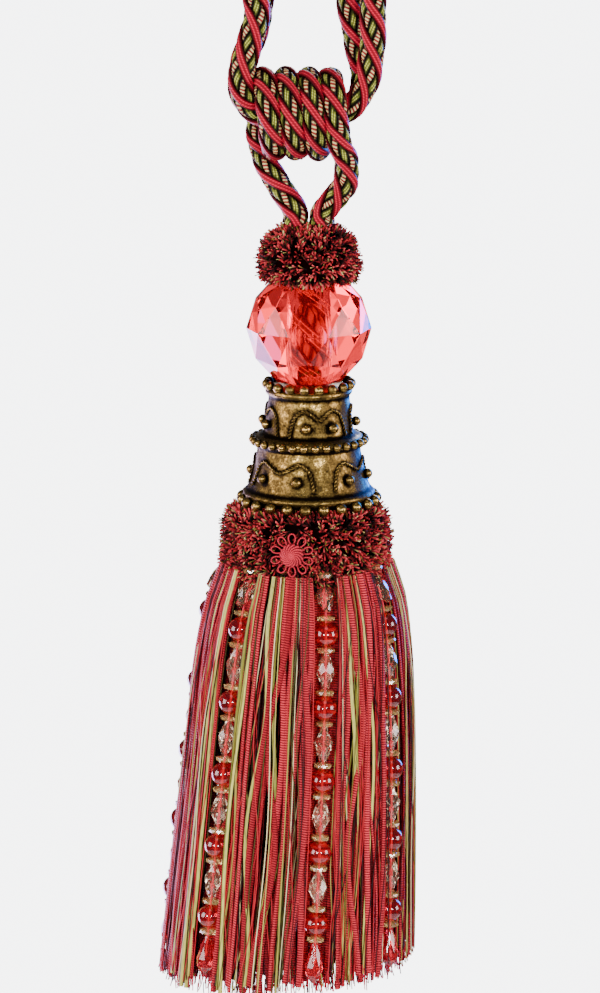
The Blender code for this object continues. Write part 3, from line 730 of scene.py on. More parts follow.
def rope_tree():
    """Three bulky strands of four plies each, and one plump red cord in each groove."""
    tree, given = new_tree("corded_rope", (
        ("Red Profile", "NodeSocketObject", None), ("Ply Profile", "NodeSocketObject", None),
        ("Gimp Profile", "NodeSocketObject", None),
        ("Red", "NodeSocketMaterial", None), ("Green", "NodeSocketMaterial", None),
        ("Gimp", "NodeSocketMaterial", None),
        ("Strand Distance", "NodeSocketFloat", 2.3 * MM), ("Ply Distance", "NodeSocketFloat", 1.45 * MM),
        ("Cord Distance", "NodeSocketFloat", 3.78 * MM), ("Ply Lead", "NodeSocketFloat", 13.0 * MM)))
    line = add(tree, "GeometryNodeMeshToCurve", {"Mesh": given["Geometry"]})
    facing = add(tree, "GeometryNodeInputNamedAttribute", {"Name": "facing"}, data_type="FLOAT_VECTOR")
    width = add(tree, "GeometryNodeInputNamedAttribute", {"Name": "size"})
    kept = add(tree, "GeometryNodeCaptureAttribute", {"Geometry": line}, domain="POINT")
    for name, kind, socket in (
            ("Side", "VECTOR", facing.outputs["Attribute"]),
            ("Ahead", "VECTOR", add(tree, "GeometryNodeInputTangent").outputs[0]),
            ("Axis", "VECTOR", add(tree, "GeometryNodeInputPosition").outputs[0]),
            ("Along", "FLOAT", add(tree, "GeometryNodeSplineParameter").outputs["Length"]),
            ("Size", "FLOAT", width.outputs["Attribute"])):
        kept.capture_items.new(kind, name)
        tree.links.new(socket, kept.inputs[name])
    route = kept.outputs
    side, ahead, size = route["Side"], route["Ahead"], route["Size"]

    reach = {name: add(tree, "ShaderNodeMath", {0: given[name + " Distance"], 1: size},
                       operation="MULTIPLY").outputs[0] for name in ("Cord", "Strand", "Ply")}

    def with_painted_light(geometry, shut, wide, crest):
        """Painted light and shade: 0 in the rope's grooves and at a yarn's edges, 1 on the outermost
        surface.
        """
        place = add(tree, "GeometryNodeInputPosition")
        away = add(tree, "ShaderNodeVectorMath", {0: place, 1: route["Axis"]},
                   operation="DISTANCE")
        plain = add(tree, "ShaderNodeMath", {0: away.outputs["Value"], 1: size}, operation="DIVIDE")
        out = add(tree, "GeometryNodeInputNamedAttribute", {"Name": "out"})
        edge, top = (add(tree, "ShaderNodeMapRange", {"Value": value, "From Min": low, "From Max": high},
                         interpolation_type="SMOOTHSTEP")
                     for value, low, high in ((plain, shut * MM, wide * MM),
                                              (out, CREST_FROM * crest, CREST_TO * crest)))
        least = add(tree, "ShaderNodeMath", {0: edge, 1: top}, operation="MINIMUM")
        return add(tree, "GeometryNodeStoreNamedAttribute",
                   {"Geometry": geometry, "Name": "open", "Value": least}).outputs[0]

    turns = add(tree, "ShaderNodeMath", {0: route["Along"], 1: given["Ply Lead"]}, operation="DIVIDE")
    reds, facing = lay_round(tree, route["Geometry"], side, ahead, 3, math.pi / 3, reach["Cord"])
    cords = sweep(tree, reds, profile_geometry(tree, given["Red Profile"]), facing, size,
                  route["Along"], given["Red"])
    branches = [with_painted_light(cords, *CORD_PAINTED_LIGHT_MM)]
    strands, facing = lay_round(tree, route["Geometry"], side, ahead, 3, 0.0, reach["Strand"])
    for quarter, surface, profile in ((0.0, "Green", "Ply Profile"), (0.25, "Gimp", "Gimp Profile")):
        phase = add(tree, "ShaderNodeMath", {0: turns, 1: math.tau, 2: math.tau * quarter},
                    operation="MULTIPLY_ADD")
        plies, outward = lay_round(tree, strands, facing, ahead, 2, phase, reach["Ply"])
        yarn = sweep(tree, plies, profile_geometry(tree, given[profile]), outward, size,
                     route["Along"], given[surface])
        branches.append(with_painted_light(yarn, *PLY_PAINTED_LIGHT_MM))
    finish_tree(tree, branches)
    return tree


def yarn_tree():
    """A yarn along every path, facing as the path says, with its own shade."""
    tree, given = new_tree("yarns", (
        ("Profile", "NodeSocketObject", None), ("Surface", "NodeSocketMaterial", None),
        ("Crest", "NodeSocketFloat", 0.4), ("Seed", "NodeSocketInt", 1)))
    lines = add(tree, "GeometryNodeMeshToCurve", {"Mesh": given["Geometry"]})
    along = add(tree, "GeometryNodeSplineParameter").outputs["Length"]
    chance = add(tree, "FunctionNodeRandomValue", {2: 0.0, 3: 1.0, "Seed": given["Seed"]})
    shade = add(tree, "GeometryNodeStoreNamedAttribute",
                {"Geometry": lines, "Name": "shade", "Value": chance.outputs[1]}, domain="CURVE")
    facing = add(tree, "GeometryNodeInputNamedAttribute", {"Name": "facing"}, data_type="FLOAT_VECTOR")
    size = add(tree, "GeometryNodeInputNamedAttribute", {"Name": "size"})
    yarns = sweep(tree, shade.outputs[0], profile_geometry(tree, given["Profile"]),
                  facing.outputs["Attribute"], size.outputs["Attribute"], along, given["Surface"])
    # Painted light and shade across each yarn: dark on its inner side, full towards its crest.
    out = add(tree, "GeometryNodeInputNamedAttribute", {"Name": "out"})
    crest = add(tree, "ShaderNodeMapRange", {"Value": out.outputs["Attribute"], "From Min": 0.0,
                                             "From Max": given["Crest"]})
    opened = add(tree, "GeometryNodeStoreNamedAttribute",
                 {"Geometry": yarns, "Name": "open", "Value": crest})
    finish_tree(tree, [opened.outputs[0]])
    return tree


def swept_yarns(name, rows, tree, thick, wide, sides, surface, seed=1):
    """Yarns of one round or flat section, in millimetres, along every path."""
    profile = oval(name + "_profile", thick * MM, wide * MM, sides)
    yarns = run_tree(name, paths_object(name + "_paths", rows), tree, {
        "Profile": profile, "Surface": surface, "Seed": seed})
    discard(profile)
    return yarns


def twisted_path(route, full_radius, leads, first_turn, least_size=0.0):
    """The route, each point facing where the rope's first strand lies, as an S twist turns it."""
    points = smooth_route([Vector(row) * MM for row in route], ROUTE_STEP)
    loose, tight = leads
    side = (points[1] - points[0]).xyz.orthogonal().normalized()
    path, turned = [], first_turn
    for k, point in enumerate(points):
        ahead = (points[min(k + 1, len(points) - 1)] - points[max(k - 1, 0)]).xyz.normalized()
        side = (side - ahead * side.dot(ahead)).normalized()
        slack = min(1.0, max(0.0, (point.w / MM - WOUND_R_MM) / (ROPE_R_MM - WOUND_R_MM)))
        step = (point.xyz - points[max(k - 1, 0)].xyz).length
        turned -= math.tau * step / (tight + (loose - tight) * slack)
        facing = side * math.cos(turned) + ahead.cross(side) * math.sin(turned)
        path.append((point.xyz, facing, max(point.w / full_radius, least_size), 0.0))
    return path


class TASSEL_OT_ropes(bpy.types.Operator):
    """Make the long rope with its loops, the hanging rope wound round it, and the rope in the ball"""

    bl_idname = "tassel.ropes"
    bl_label = "Ropes"

    def execute(self, context):
        sizes, colours = context.scene.tassel_sizes, context.scene.tassel_colours
        full = sizes.rope_diameter / 2
        tree = rope_tree()
        red = satin_cord("rayon_satin_red", hex_colour("#FF2E50"), hex_colour("#9C1C2C"),
                         tuple(colours.red), hex_colour("#0C0102"), 0.8 * MM)
        green = satin_cord("rayon_satin_green", hex_colour("#FBFF7C"), hex_colour("#7E8434"),
                           tuple(colours.green), hex_colour("#080803"), 0.8 * MM)
        gimp = checked_gimp("checked_gimp", tuple(colours.cream), hex_colour("#8C2022"),
                            hex_colour("#080202"))
        gold = satin_cord("rayon_satin_gold", hex_colour("#FFF4A8"), hex_colour("#FFD868"),
                          hex_colour("#D07020"), hex_colour("#140203"), 1.0 * MM)
        leads = (sizes.rope_lead, sizes.tight_lead)
        ropes = (
            # node, path, green plies, checked plies
            ("long_rope", twisted_path(LONG_ROPE_ROUTE_MM, full, leads, 0.4, TIGHTEST_YARN),
             green, gimp),
            ("hanging_rope", twisted_path(hanging_route(), full, leads, 1.0, TIGHTEST_YARN),
             green, gimp),
            ("stem_rope", self.stem_path(full), gold, gold),
        )
        profiles = {"Red Profile": pair("red_profile", 2.10 * MM, 1.20 * MM),
                    "Ply Profile": pair("ply_profile", 1.50 * MM, 0.90 * MM),
                    "Gimp Profile": pair("gimp_profile", 1.55 * MM, 0.70 * MM)}
        for node, path, ply, checked in ropes:
            rope = run_tree(node + "_yarns", paths_object(node + "_route", [path]), tree, {
                **profiles, "Red": red, "Green": ply, "Gimp": checked, "Ply Lead": sizes.ply_lead})
            keep(rope, "rope", node)
        discard(*profiles.values())
        return {"FINISHED"}

    def stem_path(self, full):
        """The rope that shows through the ball."""
        low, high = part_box("stem_rope")
        middle = (low + high) / 2
        route = [(middle.x / MM, middle.y / MM, (low.z + (high.z - low.z) * share) / MM,
                  (high.x - low.x) / 2 / MM) for share in (1.0, 0.75, 0.5, 0.25, 0.0)]
        return twisted_path(route, full, (STEM_LEAD, STEM_LEAD), 0.0)


# ---------------------------------------------------------------- ruffs

SHELL_COLUMNS = 72
LUMP_SIZE = 4.0 * MM
RUFF_LUMP = 0.05  # share of the radius
TUFT_LENGTHS = (0.72, 1.04)  # shares of the pile's length


def pile_tree():
    """Tufts of cut yarn that lean together in locks, with gaps between the locks."""
    tree, given = new_tree("cut_pile", (
        ("Spacing", "NodeSocketFloat", 1.28 * MM), ("Length", "NodeSocketFloat", 4.2 * MM),
        ("Thickness", "NodeSocketFloat", 0.38 * MM), ("Spread", "NodeSocketFloat", 0.78),
        ("Lift", "NodeSocketFloat", -0.25), ("Seed", "NodeSocketInt", 1),
        ("Pile", "NodeSocketMaterial", None)))
    place = add(tree, "GeometryNodeInputPosition")
    holes = add(tree, "ShaderNodeTexNoise", {"Vector": place, "Scale": 340.0, "Detail": 1.0})
    full = add(tree, "ShaderNodeMapRange", {"Value": holes, "From Min": 0.40, "From Max": 0.48,
                                            "To Min": 0.55})
    points = add(tree, "GeometryNodeDistributePointsOnFaces",
                 {"Mesh": given["Geometry"], "Distance Min": given["Spacing"], "Density Max": 3.0e6,
                  "Density Factor": full, "Seed": given["Seed"]}, distribute_method="POISSON")
    locks = add(tree, "ShaderNodeTexNoise", {"Vector": place, "Scale": 300.0, "Detail": 0.0})
    centred = add(tree, "ShaderNodeVectorMath", {0: locks.outputs["Color"], 1: (-0.5, -0.5, -0.5)},
                  operation="ADD")
    swept = add(tree, "ShaderNodeVectorMath", {0: centred, "Scale": 2.8}, operation="SCALE")
    chance = add(tree, "FunctionNodeRandomValue", {"Min": (-0.8, -0.8, -0.8), "Max": (0.8, 0.8, 0.8)},
                 data_type="FLOAT_VECTOR")
    both = add(tree, "ShaderNodeVectorMath", {0: swept, 1: chance}, operation="ADD")
    lean = add(tree, "ShaderNodeVectorMath", {0: both, "Scale": given["Spread"]},
               operation="SCALE")
    leaning = add(tree, "ShaderNodeVectorMath", {0: points.outputs["Normal"], 1: lean},
                  operation="ADD")
    up = add(tree, "ShaderNodeCombineXYZ", {2: given["Lift"]})
    heading = add(tree, "ShaderNodeVectorMath", {0: leaning, 1: up}, operation="ADD")
    pointed = add(tree, "FunctionNodeAlignRotationToVector", {"Vector": heading}, axis="Z")
    spin = add(tree, "FunctionNodeRandomValue", {2: 0.0, 3: math.tau, "Seed": 3})
    own_turn = add(tree, "FunctionNodeAxisAngleToRotation", {"Axis": (0.0, 0.0, 1.0),
                                                             "Angle": spin.outputs[1]})
    turned = add(tree, "FunctionNodeRotateRotation", {0: pointed, 1: own_turn},
                 rotation_space="LOCAL")
    length = add(tree, "FunctionNodeRandomValue", {2: TUFT_LENGTHS[0], 3: TUFT_LENGTHS[1], "Seed": 5})

    share = add(tree, "GeometryNodeSplineParameter")
    tuft = add(tree, "GeometryNodeJoinGeometry")
    # A tuft is three yarns and a finer fleck, each bent from its root past a middle to its end.
    for middle, end, width, tone, fleck in (
            ((0.10, 0.02, 0.5), (0.38, 0.10, 1.0), 1.0, 0.14, 0.0),
            ((-0.12, 0.08, 0.5), (-0.30, 0.30, 0.86), 1.0, -0.18, 0.0),
            ((0.0, -0.12, 0.5), (-0.04, -0.40, 0.94), 1.0, -0.02, 0.0),
            ((0.06, 0.14, 0.5), (0.16, 0.46, 1.04), 0.62, 0.0, 1.0)):
        radius = add(tree, "ShaderNodeMath", {0: given["Thickness"], 1: width}, operation="MULTIPLY")
        round_end = add(tree, "GeometryNodeCurvePrimitiveCircle", {"Resolution": 3,
                                                                   "Radius": radius})
        bent = add(tree, "GeometryNodeCurveQuadraticBezier", {"Resolution": 3})
        for name, shares in (("Start", (0.0, 0.0, 0.0)), ("Middle", middle), ("End", end)):
            spot = add(tree, "ShaderNodeVectorMath", {0: shares, "Scale": given["Length"]},
                       operation="SCALE")
            tree.links.new(spot.outputs[0], bent.inputs[name])
        marked = bent.outputs[0]
        # tip runs from a yarn's root to its end; the pile's finish darkens it towards the root as painted
        # shade.
        for name, value in (("tip", share.outputs["Factor"]), ("tone", tone), ("fleck", fleck)):
            marked = add(tree, "GeometryNodeStoreNamedAttribute",
                         {"Geometry": marked, "Name": name, "Value": value}).outputs[0]
        yarn = add(tree, "GeometryNodeCurveToMesh", {"Curve": marked, "Fill Caps": True,
                                                     "Profile Curve": round_end})
        tree.links.new(yarn.outputs[0], tuft.inputs[0])
    copies = add(tree, "GeometryNodeInstanceOnPoints",
                 {"Points": points.outputs["Points"], "Instance": tuft,
                  "Rotation": turned, "Scale": length.outputs[1]})
    patch = add(tree, "ShaderNodeTexNoise", {"Vector": place, "Scale": 130.0})
    luck = add(tree, "FunctionNodeRandomValue", {2: -0.35, 3: 0.35, "Seed": 7})
    shade = add(tree, "ShaderNodeMath", {0: patch, 1: luck.outputs[1]}, operation="ADD")
    tinted = add(tree, "GeometryNodeStoreNamedAttribute",
                 {"Geometry": copies, "Name": "shade", "Value": shade}, domain="INSTANCE")
    coloured = add(tree, "GeometryNodeSetMaterial", {"Geometry": tinted,
                                                     "Material": given["Pile"]})
    finish_tree(tree, [coloured.outputs[0]])
    return tree


def turned_form(outline, columns, radius_at, centre_x=0.0):
    """A closed turned form from radii and heights; radius_at moves each place in or out."""
    mesh_builder = bmesh.new()
    rings = []
    for radius, z in outline:
        ring = []
        for k in range(columns):
            azimuth = 360.0 * k / columns
            place = around(azimuth, radius, z, centre_x)
            ring.append(mesh_builder.verts.new(around(azimuth, radius_at(radius, place), z, centre_x)))
        rings.append(ring)
    for first, second in zip(rings, rings[1:]):
        for k in range(columns):
            after = (k + 1) % columns
            mesh_builder.faces.new((first[k], second[k], second[after], first[after]))
    mesh_builder.faces.new(rings[0])
    mesh_builder.faces.new(rings[-1])
    return mesh_builder


def turned_shell(name, outline, centre_x, surface, lump=0.0):
    """A turned shell from radius and height in millimetres, lumpy by a share of its radius."""
    shell = turned_form(
        [(radius * MM, z * MM) for radius, z in outline], SHELL_COLUMNS,
        lambda radius, place: radius * (1.0 + lump * noise.noise(place / LUMP_SIZE)), centre_x)
    return mesh_object(name, shell, [surface])


class TASSEL_OT_ruffs(bpy.types.Operator):
    """Make the two ruffs of cut pile, above the ball and under the cap"""

    bl_idname = "tassel.ruffs"
    bl_label = "Ruffs"

    def execute(self, context):
        sizes = context.scene.tassel_sizes
        pile = cut_pile("cut_rayon_pile", (
            (0.15, hex_colour("#3F0A0F")), (0.85, hex_colour("#F9595D")), (0.36, hex_colour("#8E1C25")),
            (0.56, hex_colour("#D8303A"))), (
            (0.30, hex_colour("#34340E")), (0.88, hex_colour("#F4E29A")), (0.50, hex_colour("#7A0818")),
            (0.58, hex_colour("#908A34"))))
        # The cord that the tufts are tied to: painted near black as shade, so that gaps in the pile look
        # deep.
        backing = new_material("ruff_backing_painted_shade", Base_Color=(*hex_colour("#100102"), 1.0),
                               Roughness=1.0, Specular_IOR_Level=0.0)[0]
        tree = pile_tree()
        ruffs = (
            # node, outline of the surface that the pile stands on, axis, length, spread, lift, seed
            ("upper_ruff", ((6.0, -123.8), (9.8, -124.4), (12.9, -126.4), (14.8, -129.6), (15.5, -133.4),
                            (15.7, -137.0), (15.2, -139.2), (9.0, -140.2)), 0.0, 3.7, 0.78, -0.08, 4),
            ("lower_ruff", ((21.0, -225.0), (24.9, -225.7), (26.8, -228.0), (27.3, -232.0), (27.3, -238.0),
                            (27.6, -243.0), (27.9, -246.6), (25.0, -248.4)), SKIRT_X, 4.2, 0.78, -0.25, 9),
        )
        for node, outline, centre_x, length, spread, lift, seed in ruffs:
            shell = turned_shell(node + "_shell", outline, centre_x, backing, RUFF_LUMP)
            ruff = run_tree(node + "_pile", placed(node + "_copy", shell.data.copy()), tree, {
                "Spacing": sizes.pile_spacing, "Length": length * MM, "Spread": spread, "Lift": lift,
                "Seed": seed, "Pile": pile})
            keep(shell, "pile")
            keep(ruff, "pile", node)
        return {"FINISHED"}


# ---------------------------------------------------------------- ball

BALL_R = 22.4 * MM
BORE_R = 6.3 * MM
BORE_MARGIN = 1.02  # faces nearer to the axis than this many bore radii are the bore's wall
BALL_TURN = math.radians(18.0)


class TASSEL_OT_ball(bpy.types.Operator):
    """Make the faceted acrylic ball with its bore"""

    bl_idname = "tassel.ball"
    bl_label = "Ball"

    def execute(self, context):
        low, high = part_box("ball")
        middle = (low + high) / 2
        mesh_builder = bmesh.new()
        upright = Matrix.Translation(middle) @ Matrix.Rotation(BALL_TURN, 4, "Z")
        bmesh.ops.create_icosphere(mesh_builder, subdivisions=2, radius=BALL_R, matrix=upright)
        acrylic = cast_acrylic("cast_acrylic", tuple(context.scene.tassel_colours.ball))
        ball = mesh_object("ball_faceted", mesh_builder, [acrylic], smooth=False)
        drill = bmesh.new()
        bmesh.ops.create_cone(drill, cap_ends=True, segments=48, radius1=BORE_R, radius2=BORE_R,
                              depth=3 * BALL_R, matrix=Matrix.Translation(middle))
        bore = mesh_object("bore", drill)
        step = ball.modifiers.new("bore", "BOOLEAN")
        step.operation = "DIFFERENCE"
        step.solver = "EXACT"
        step.object = bore
        mesh = ball.data = applied(ball, step)
        discard(bore)
        # The bore's wall is tinted darker than the ball as painted shade.
        mesh.materials.append(drilled_acrylic("drilled_acrylic", hex_colour("#B43420")))
        for face in mesh.polygons:
            if (face.center - middle).xy.length < BORE_MARGIN * BORE_R:
                face.material_index = 1
        keep(ball, "ball", "ball")
        return {"FINISHED"}


# ---------------------------------------------------------------- cap

CAP_OUTLINE_MM = (
    # radius and height of the bell's side, from the top ring down to the lip
    (12.9, -179.2), (13.7, -179.4), (15.0, -180.0), (15.5, -180.9), (15.4, -182.0), (14.6, -182.6),
    (14.5, -183.2), (14.8, -186.0), (15.1, -189.0), (15.6, -192.5), (16.1, -195.8), (17.2, -196.6),
    (19.2, -197.6), (19.7, -198.8), (19.4, -200.0), (18.6, -200.7), (18.5, -201.6), (19.0, -205.0),
    (19.7, -209.0), (20.9, -213.0), (22.2, -216.2), (23.3, -217.2), (23.7, -218.0), (23.5, -218.9),
    (22.9, -219.6), (22.8, -220.6),
)
BEAD_RINGS_MM = (
    # name, ring radius, height, bead radius, count, first azimuth
    ("top", 15.1, -178.7, 1.8, 18, -6.5), ("middle", 20.1, -198.9, 1.55, 31, -5.3),
    ("lip", 24.1, -220.4, 2.1, 23, -3.0),
)
CAP_BALL_PAIRS = (
    # distance from the axis, height, azimuth from a pair's middle to each ball, middles of the pairs
    (16.8, -192.4, 17.4, (13.8, 107.0, 195.0, 276.5)),
    (21.2, -211.0, 19.6, (-32.0, 62.7, 152.0, 239.5)),
)
CAP_BALL_R_MM = 1.8
SCROLL_MM = (
    # along from the nearer ball, away from the pair's middle, and up from the balls
    (6.4, -3.4), (5.4, 1.6), (4.1, 4.4), (0.9, 6.0), (-1.9, 4.9),
)
SCROLL_DIP_MM = 2.8
BELL_COLUMNS = 180
DENTS_MM = ((0.16, 3.2), (0.07, 1.1))  # depth and size of the hammer's marks
GROOVES_MM = (-182.9, -196.3, -200.8, -216.4, -219.8)
WIRE_MM, WIRE_LEAD_MM, WIRE_SWING_MM, WIRE_LIFT_MM = 0.74, 2.6, 0.34, 0.25


def brass_balls(name, places, radius, brass):
    """Round balls of one size at places on the cap."""
    balls = bmesh.new()
    for place in places:
        bmesh.ops.create_uvsphere(balls, u_segments=16, v_segments=10, radius=radius * MM,
                                  matrix=Matrix.Translation(place))
    made = mesh_object(name, balls, [brass])
    # Each ball takes painted shade by which way each point faces.
    store_patina_and_shade(made, bead_painted_shade)
    keep(made, "cap")


def store_patina_and_shade(thing, depth_at):
    """Store how much patina and painted shade darken each point of a brass piece, from 0 to about 0.6."""
    patina_and_shade = thing.data.attributes.new("patina_and_shade", "FLOAT", "POINT")
    patina_and_shade.data.foreach_set("value", [depth_at(vertex) for vertex in thing.data.vertices])


def bead_painted_shade(vertex):
    """Painted shade on a brass bead, by which way each point faces: bright where it stands out, dark round
    its seat and below.
    """
    outward = Vector((vertex.co.x, vertex.co.y, 0.0)).normalized()
    facing = vertex.normal.dot(outward) + 0.12 * vertex.normal.z
    return 0.6 * (1.0 - min(1.0, max(0.0, (facing + 0.25) / 0.5))) - 0.08


def surface_point(outline, azimuth, z):
    """A point on a turned surface at an azimuth and a height in metres."""
    rows = sorted(outline, key=lambda row: row[1])
    for (r0, z0), (r1, z1) in zip(rows, rows[1:]):
        if z0 * MM <= z <= z1 * MM:
            share = (z - z0 * MM) / ((z1 - z0) * MM)
            return around(azimuth, (r0 + (r1 - r0) * share) * MM, z)
    raise ValueError("the height is off the cap")


def scroll_path(radius, height, half_angle, middle):
    """A wire that arches over both balls of a pair and dips between them."""
    half = math.radians(half_angle) * radius
    left = [(-half - along, up) for along, up in SCROLL_MM]
    right = [(half + along, up) for along, up in reversed(SCROLL_MM)]
    flat = [Vector((along * MM, 0.0, (height + up) * MM, 1.0))
            for along, up in left + [(0.0, SCROLL_DIP_MM)] + right]
    return [surface_point(CAP_OUTLINE_MM, middle + math.degrees(p.x / MM / radius), p.z)
            for p in smooth_route(flat, 0.3 * MM)]


class TASSEL_OT_cap(bpy.types.Operator):
    """Make the aged brass cap, its rings of beads, its balls and its wire scrolls"""

    bl_idname = "tassel.cap"
    bl_label = "Cap"

    def execute(self, context):
        brass = aged_brass("aged_brass", tuple(context.scene.tassel_colours.brass), hex_colour("#140C05"))
        balls = self.ball_places()
        scrolls = [scroll_path(radius, height, half_angle, middle)
                   for radius, height, half_angle, middles in CAP_BALL_PAIRS for middle in middles]
        keep(self.body(brass, balls, scrolls), "cap", "cap")
        for name, radius, height, bead, count, first in BEAD_RINGS_MM:
            ring = [around(first + 360.0 * k / count, radius * MM, height * MM) for k in range(count)]
            brass_balls(f"bead_ring_{name}", ring, bead, brass)
        brass_balls("cap_balls", balls, CAP_BALL_R_MM, brass)
        self.wires(brass, scrolls)
        return {"FINISHED"}

    def ball_places(self):
        """Middles of the balls, two to each scroll."""
        return [around(middle + side * half_angle, radius * MM, height * MM)
                for radius, height, half_angle, middles in CAP_BALL_PAIRS
                for middle in middles for side in (-1, 1)]

    def body(self, brass, balls, scrolls):
        """The bell's side, hammered a little, with a value for the patina and painted shade in its
        hollows.
        """
        fine = smooth_route([Vector((r * MM, 0.0, z * MM, 0.0)) for r, z in CAP_OUTLINE_MM], 0.7 * MM)
        bell = turned_form(
            [(row.x, row.z) for row in fine], BELL_COLUMNS, lambda radius, place: radius + sum(
                depth * MM * noise.noise(place / (size * MM)) for depth, size in DENTS_MM))
        body = mesh_object("cap_body", bell, [brass])
        wires = [point for path in scrolls for point in path[::3]]

        def patina_and_shade(vertex):
            """Patina and painted shade: dark round the balls, along the scrolls' wires and in the grooves.
            """
            near = min((vertex.co - ball).length for ball in balls)
            wire = min((vertex.co - point).length for point in wires)
            groove = min(abs(vertex.co.z / MM - z) for z in GROOVES_MM)
            return (0.5 * math.exp(-((near / MM - 1.4) / 1.2) ** 2)
                    + 0.42 * math.exp(-(wire / MM / 1.1) ** 2) + 0.5 * math.exp(-(groove / 0.5) ** 2))

        store_patina_and_shade(body, patina_and_shade)
        return body

    def wires(self, brass, scrolls):
        """Each scroll is two wires twisted together."""
        rows = []
        for path in scrolls:
            travelled, first, second = 0.0, [], []
            for k, point in enumerate(path):
                before = path[max(k - 1, 0)]
                ahead = (path[min(k + 1, len(path) - 1)] - before).normalized()
                outward = Vector((point.x, point.y, 0.0)).normalized()
                across = ahead.cross(outward).normalized()
                travelled += (point - before).length
                turn = math.tau * travelled / (WIRE_LEAD_MM * MM)
                swing = WIRE_SWING_MM * MM * (outward * math.cos(turn) + across * math.sin(turn))
                middle = point + outward * WIRE_LIFT_MM * MM
                first.append((middle + swing, outward, 1.0, 0.0))
                second.append((middle - swing, outward, 1.0, 0.0))
            rows += [first, second]
        scroll = swept_yarns("cap_scrolls", rows, yarn_tree(), WIRE_MM, WIRE_MM, 6, brass)
        # The wires take the beads' painted shade, a little darker all along.
        store_patina_and_shade(scroll, lambda vertex: bead_painted_shade(vertex) + 0.08)
        keep(scroll, "cap")


# ---------------------------------------------------------------- rosette

# The ring of cord loops, then the rays of cord over the disc and the dome that they lie on.
ROSETTE_AZIMUTH = -8.0
ROSETTE_LOOPS, LOOP_STEPS = 10, 18
LOOP_MIDDLE_MM, LOOP_REACH_MM, LOOP_HALF_WIDTH_MM, LOOP_FORWARD_MM = 5.75, 1.95, 1.2, 1.5
ROSETTE_RAYS, RAY_STEPS = 15, 10
RAY_START_MM, RAY_LENGTH_MM, RAY_TWIST = 0.2, 3.9, 1.5
DOME_MM, DOME_FALL_MM = 3.9, 2.2


class TASSEL_OT_rosette(bpy.types.Operator):
    """Make the rosette: a wrapped disc inside a ring of small cord loops"""

    bl_idname = "tassel.rosette"
    bl_label = "Rosette"

    def execute(self, context):
        low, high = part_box("rosette")
        middle = (low + high) / 2
        facing = Matrix.Translation(Vector((middle.x, high.y, middle.z))) @ Matrix.Rotation(
            math.radians(ROSETTE_AZIMUTH), 4, "Z")
        cord = satin_cord("rosette_cord", hex_colour("#E04050"), hex_colour("#84161F"),
                          hex_colour("#5A1018"), hex_colour("#120103"), 0.7 * MM)
        front = facing.to_3x3() @ Vector((0.0, -1.0, 0.0))
        rows = []
        for k in range(ROSETTE_LOOPS):
            turn = math.tau * k / ROSETTE_LOOPS
            loop = []
            for n in range(LOOP_STEPS + 1):
                swing = math.tau * n / LOOP_STEPS
                out = (LOOP_MIDDLE_MM - LOOP_REACH_MM * math.cos(swing)) * MM
                aside = LOOP_HALF_WIDTH_MM * MM * math.sin(swing) * (1.0 - 0.25 * math.cos(swing))
                local = Vector((out * math.sin(turn) + aside * math.cos(turn), -LOOP_FORWARD_MM * MM,
                                out * math.cos(turn) - aside * math.sin(turn)))
                loop.append((facing @ local, front, 0.85, 0.0))
            rows.append(loop)
        for k in range(ROSETTE_RAYS):
            ray = []
            for n in range(RAY_STEPS + 1):
                share = n / RAY_STEPS
                out = (RAY_START_MM + RAY_LENGTH_MM * share) * MM
                turn = math.tau * k / ROSETTE_RAYS + RAY_TWIST * share
                forward = (DOME_MM - DOME_FALL_MM * share ** 2.0) * MM
                ray.append((facing @ Vector((out * math.sin(turn), -forward, out * math.cos(turn))),
                            front, 0.6 + 1.1 * share, 0.0))
            rows.append(ray)
        rosette = swept_yarns("rosette_cords", rows, yarn_tree(), 0.8, 0.8, 8, cord)
        keep(rosette, "rosette", "rosette")
        disc = bmesh.new()
        bmesh.ops.create_uvsphere(disc, u_segments=32, v_segments=12, radius=1.0,
                                  matrix=facing @ Matrix.Translation((0.0, -1.2 * MM, 0.0))
                                  @ Matrix.Diagonal((4.1 * MM, 2.0 * MM, 4.1 * MM, 1.0)))
        # The disc under the cords: dark, so that the cords stand out from it.
        base = new_material("rosette_shadow_cord", Base_Color=(*hex_colour("#200206"), 1.0),
                            Roughness=0.9)[0]
        keep(mesh_object("rosette_disc", disc, [base]), "rosette")
        return {"FINISHED"}


# ---------------------------------------------------------------- skirt

def flare(share):
    """How much wider the skirt is at a share of its length than at its head."""
    return SKIRT_FLARE * max(0.0, share) ** SKIRT_FLARE_POWER


def skirt_radius(share):
    """Radius of the skirt's face at a share of its length."""
    return HEAD_R + flare(share)


def hem_z(azimuth):
    """Height of the hem, which is higher on the right."""
    return HEM_Z + HEM_TILT * math.sin(math.radians(azimuth))


def on_skirt(azimuth, radius, z, share):
    """A point at a share of the skirt's length; it leans left and flattens as it falls."""
    centre_x = SKIRT_X - SKIRT_LEAN * max(0.0, share) ** SKIRT_LEAN_POWER
    return around(azimuth, radius, z, centre_x, 1.0 - (1.0 - HEM_DEPTH) * share)


def skirt_point(azimuth, inset, share):
    """A point of the skirt: an azimuth, how far it lies behind the face, and a share of its length."""
    z = HEAD_Z + (hem_z(azimuth) - HEAD_Z) * share
    return on_skirt(azimuth, skirt_radius(share) - inset, z, share)


def from_string(azimuth):
    """How far an azimuth is from the nearest string of beads, signed."""
    offs = [(azimuth - string + 180.0) % 360.0 - 180.0 for string in STRING_AZIMUTHS]
    return min(offs, key=abs)


def beside_strings(azimuth, gap):
    """The azimuth, moved aside where it comes nearer to a string of beads than the gap."""
    off = from_string(azimuth)
    return azimuth + math.copysign(gap, off) - off if abs(off) < gap else azimuth


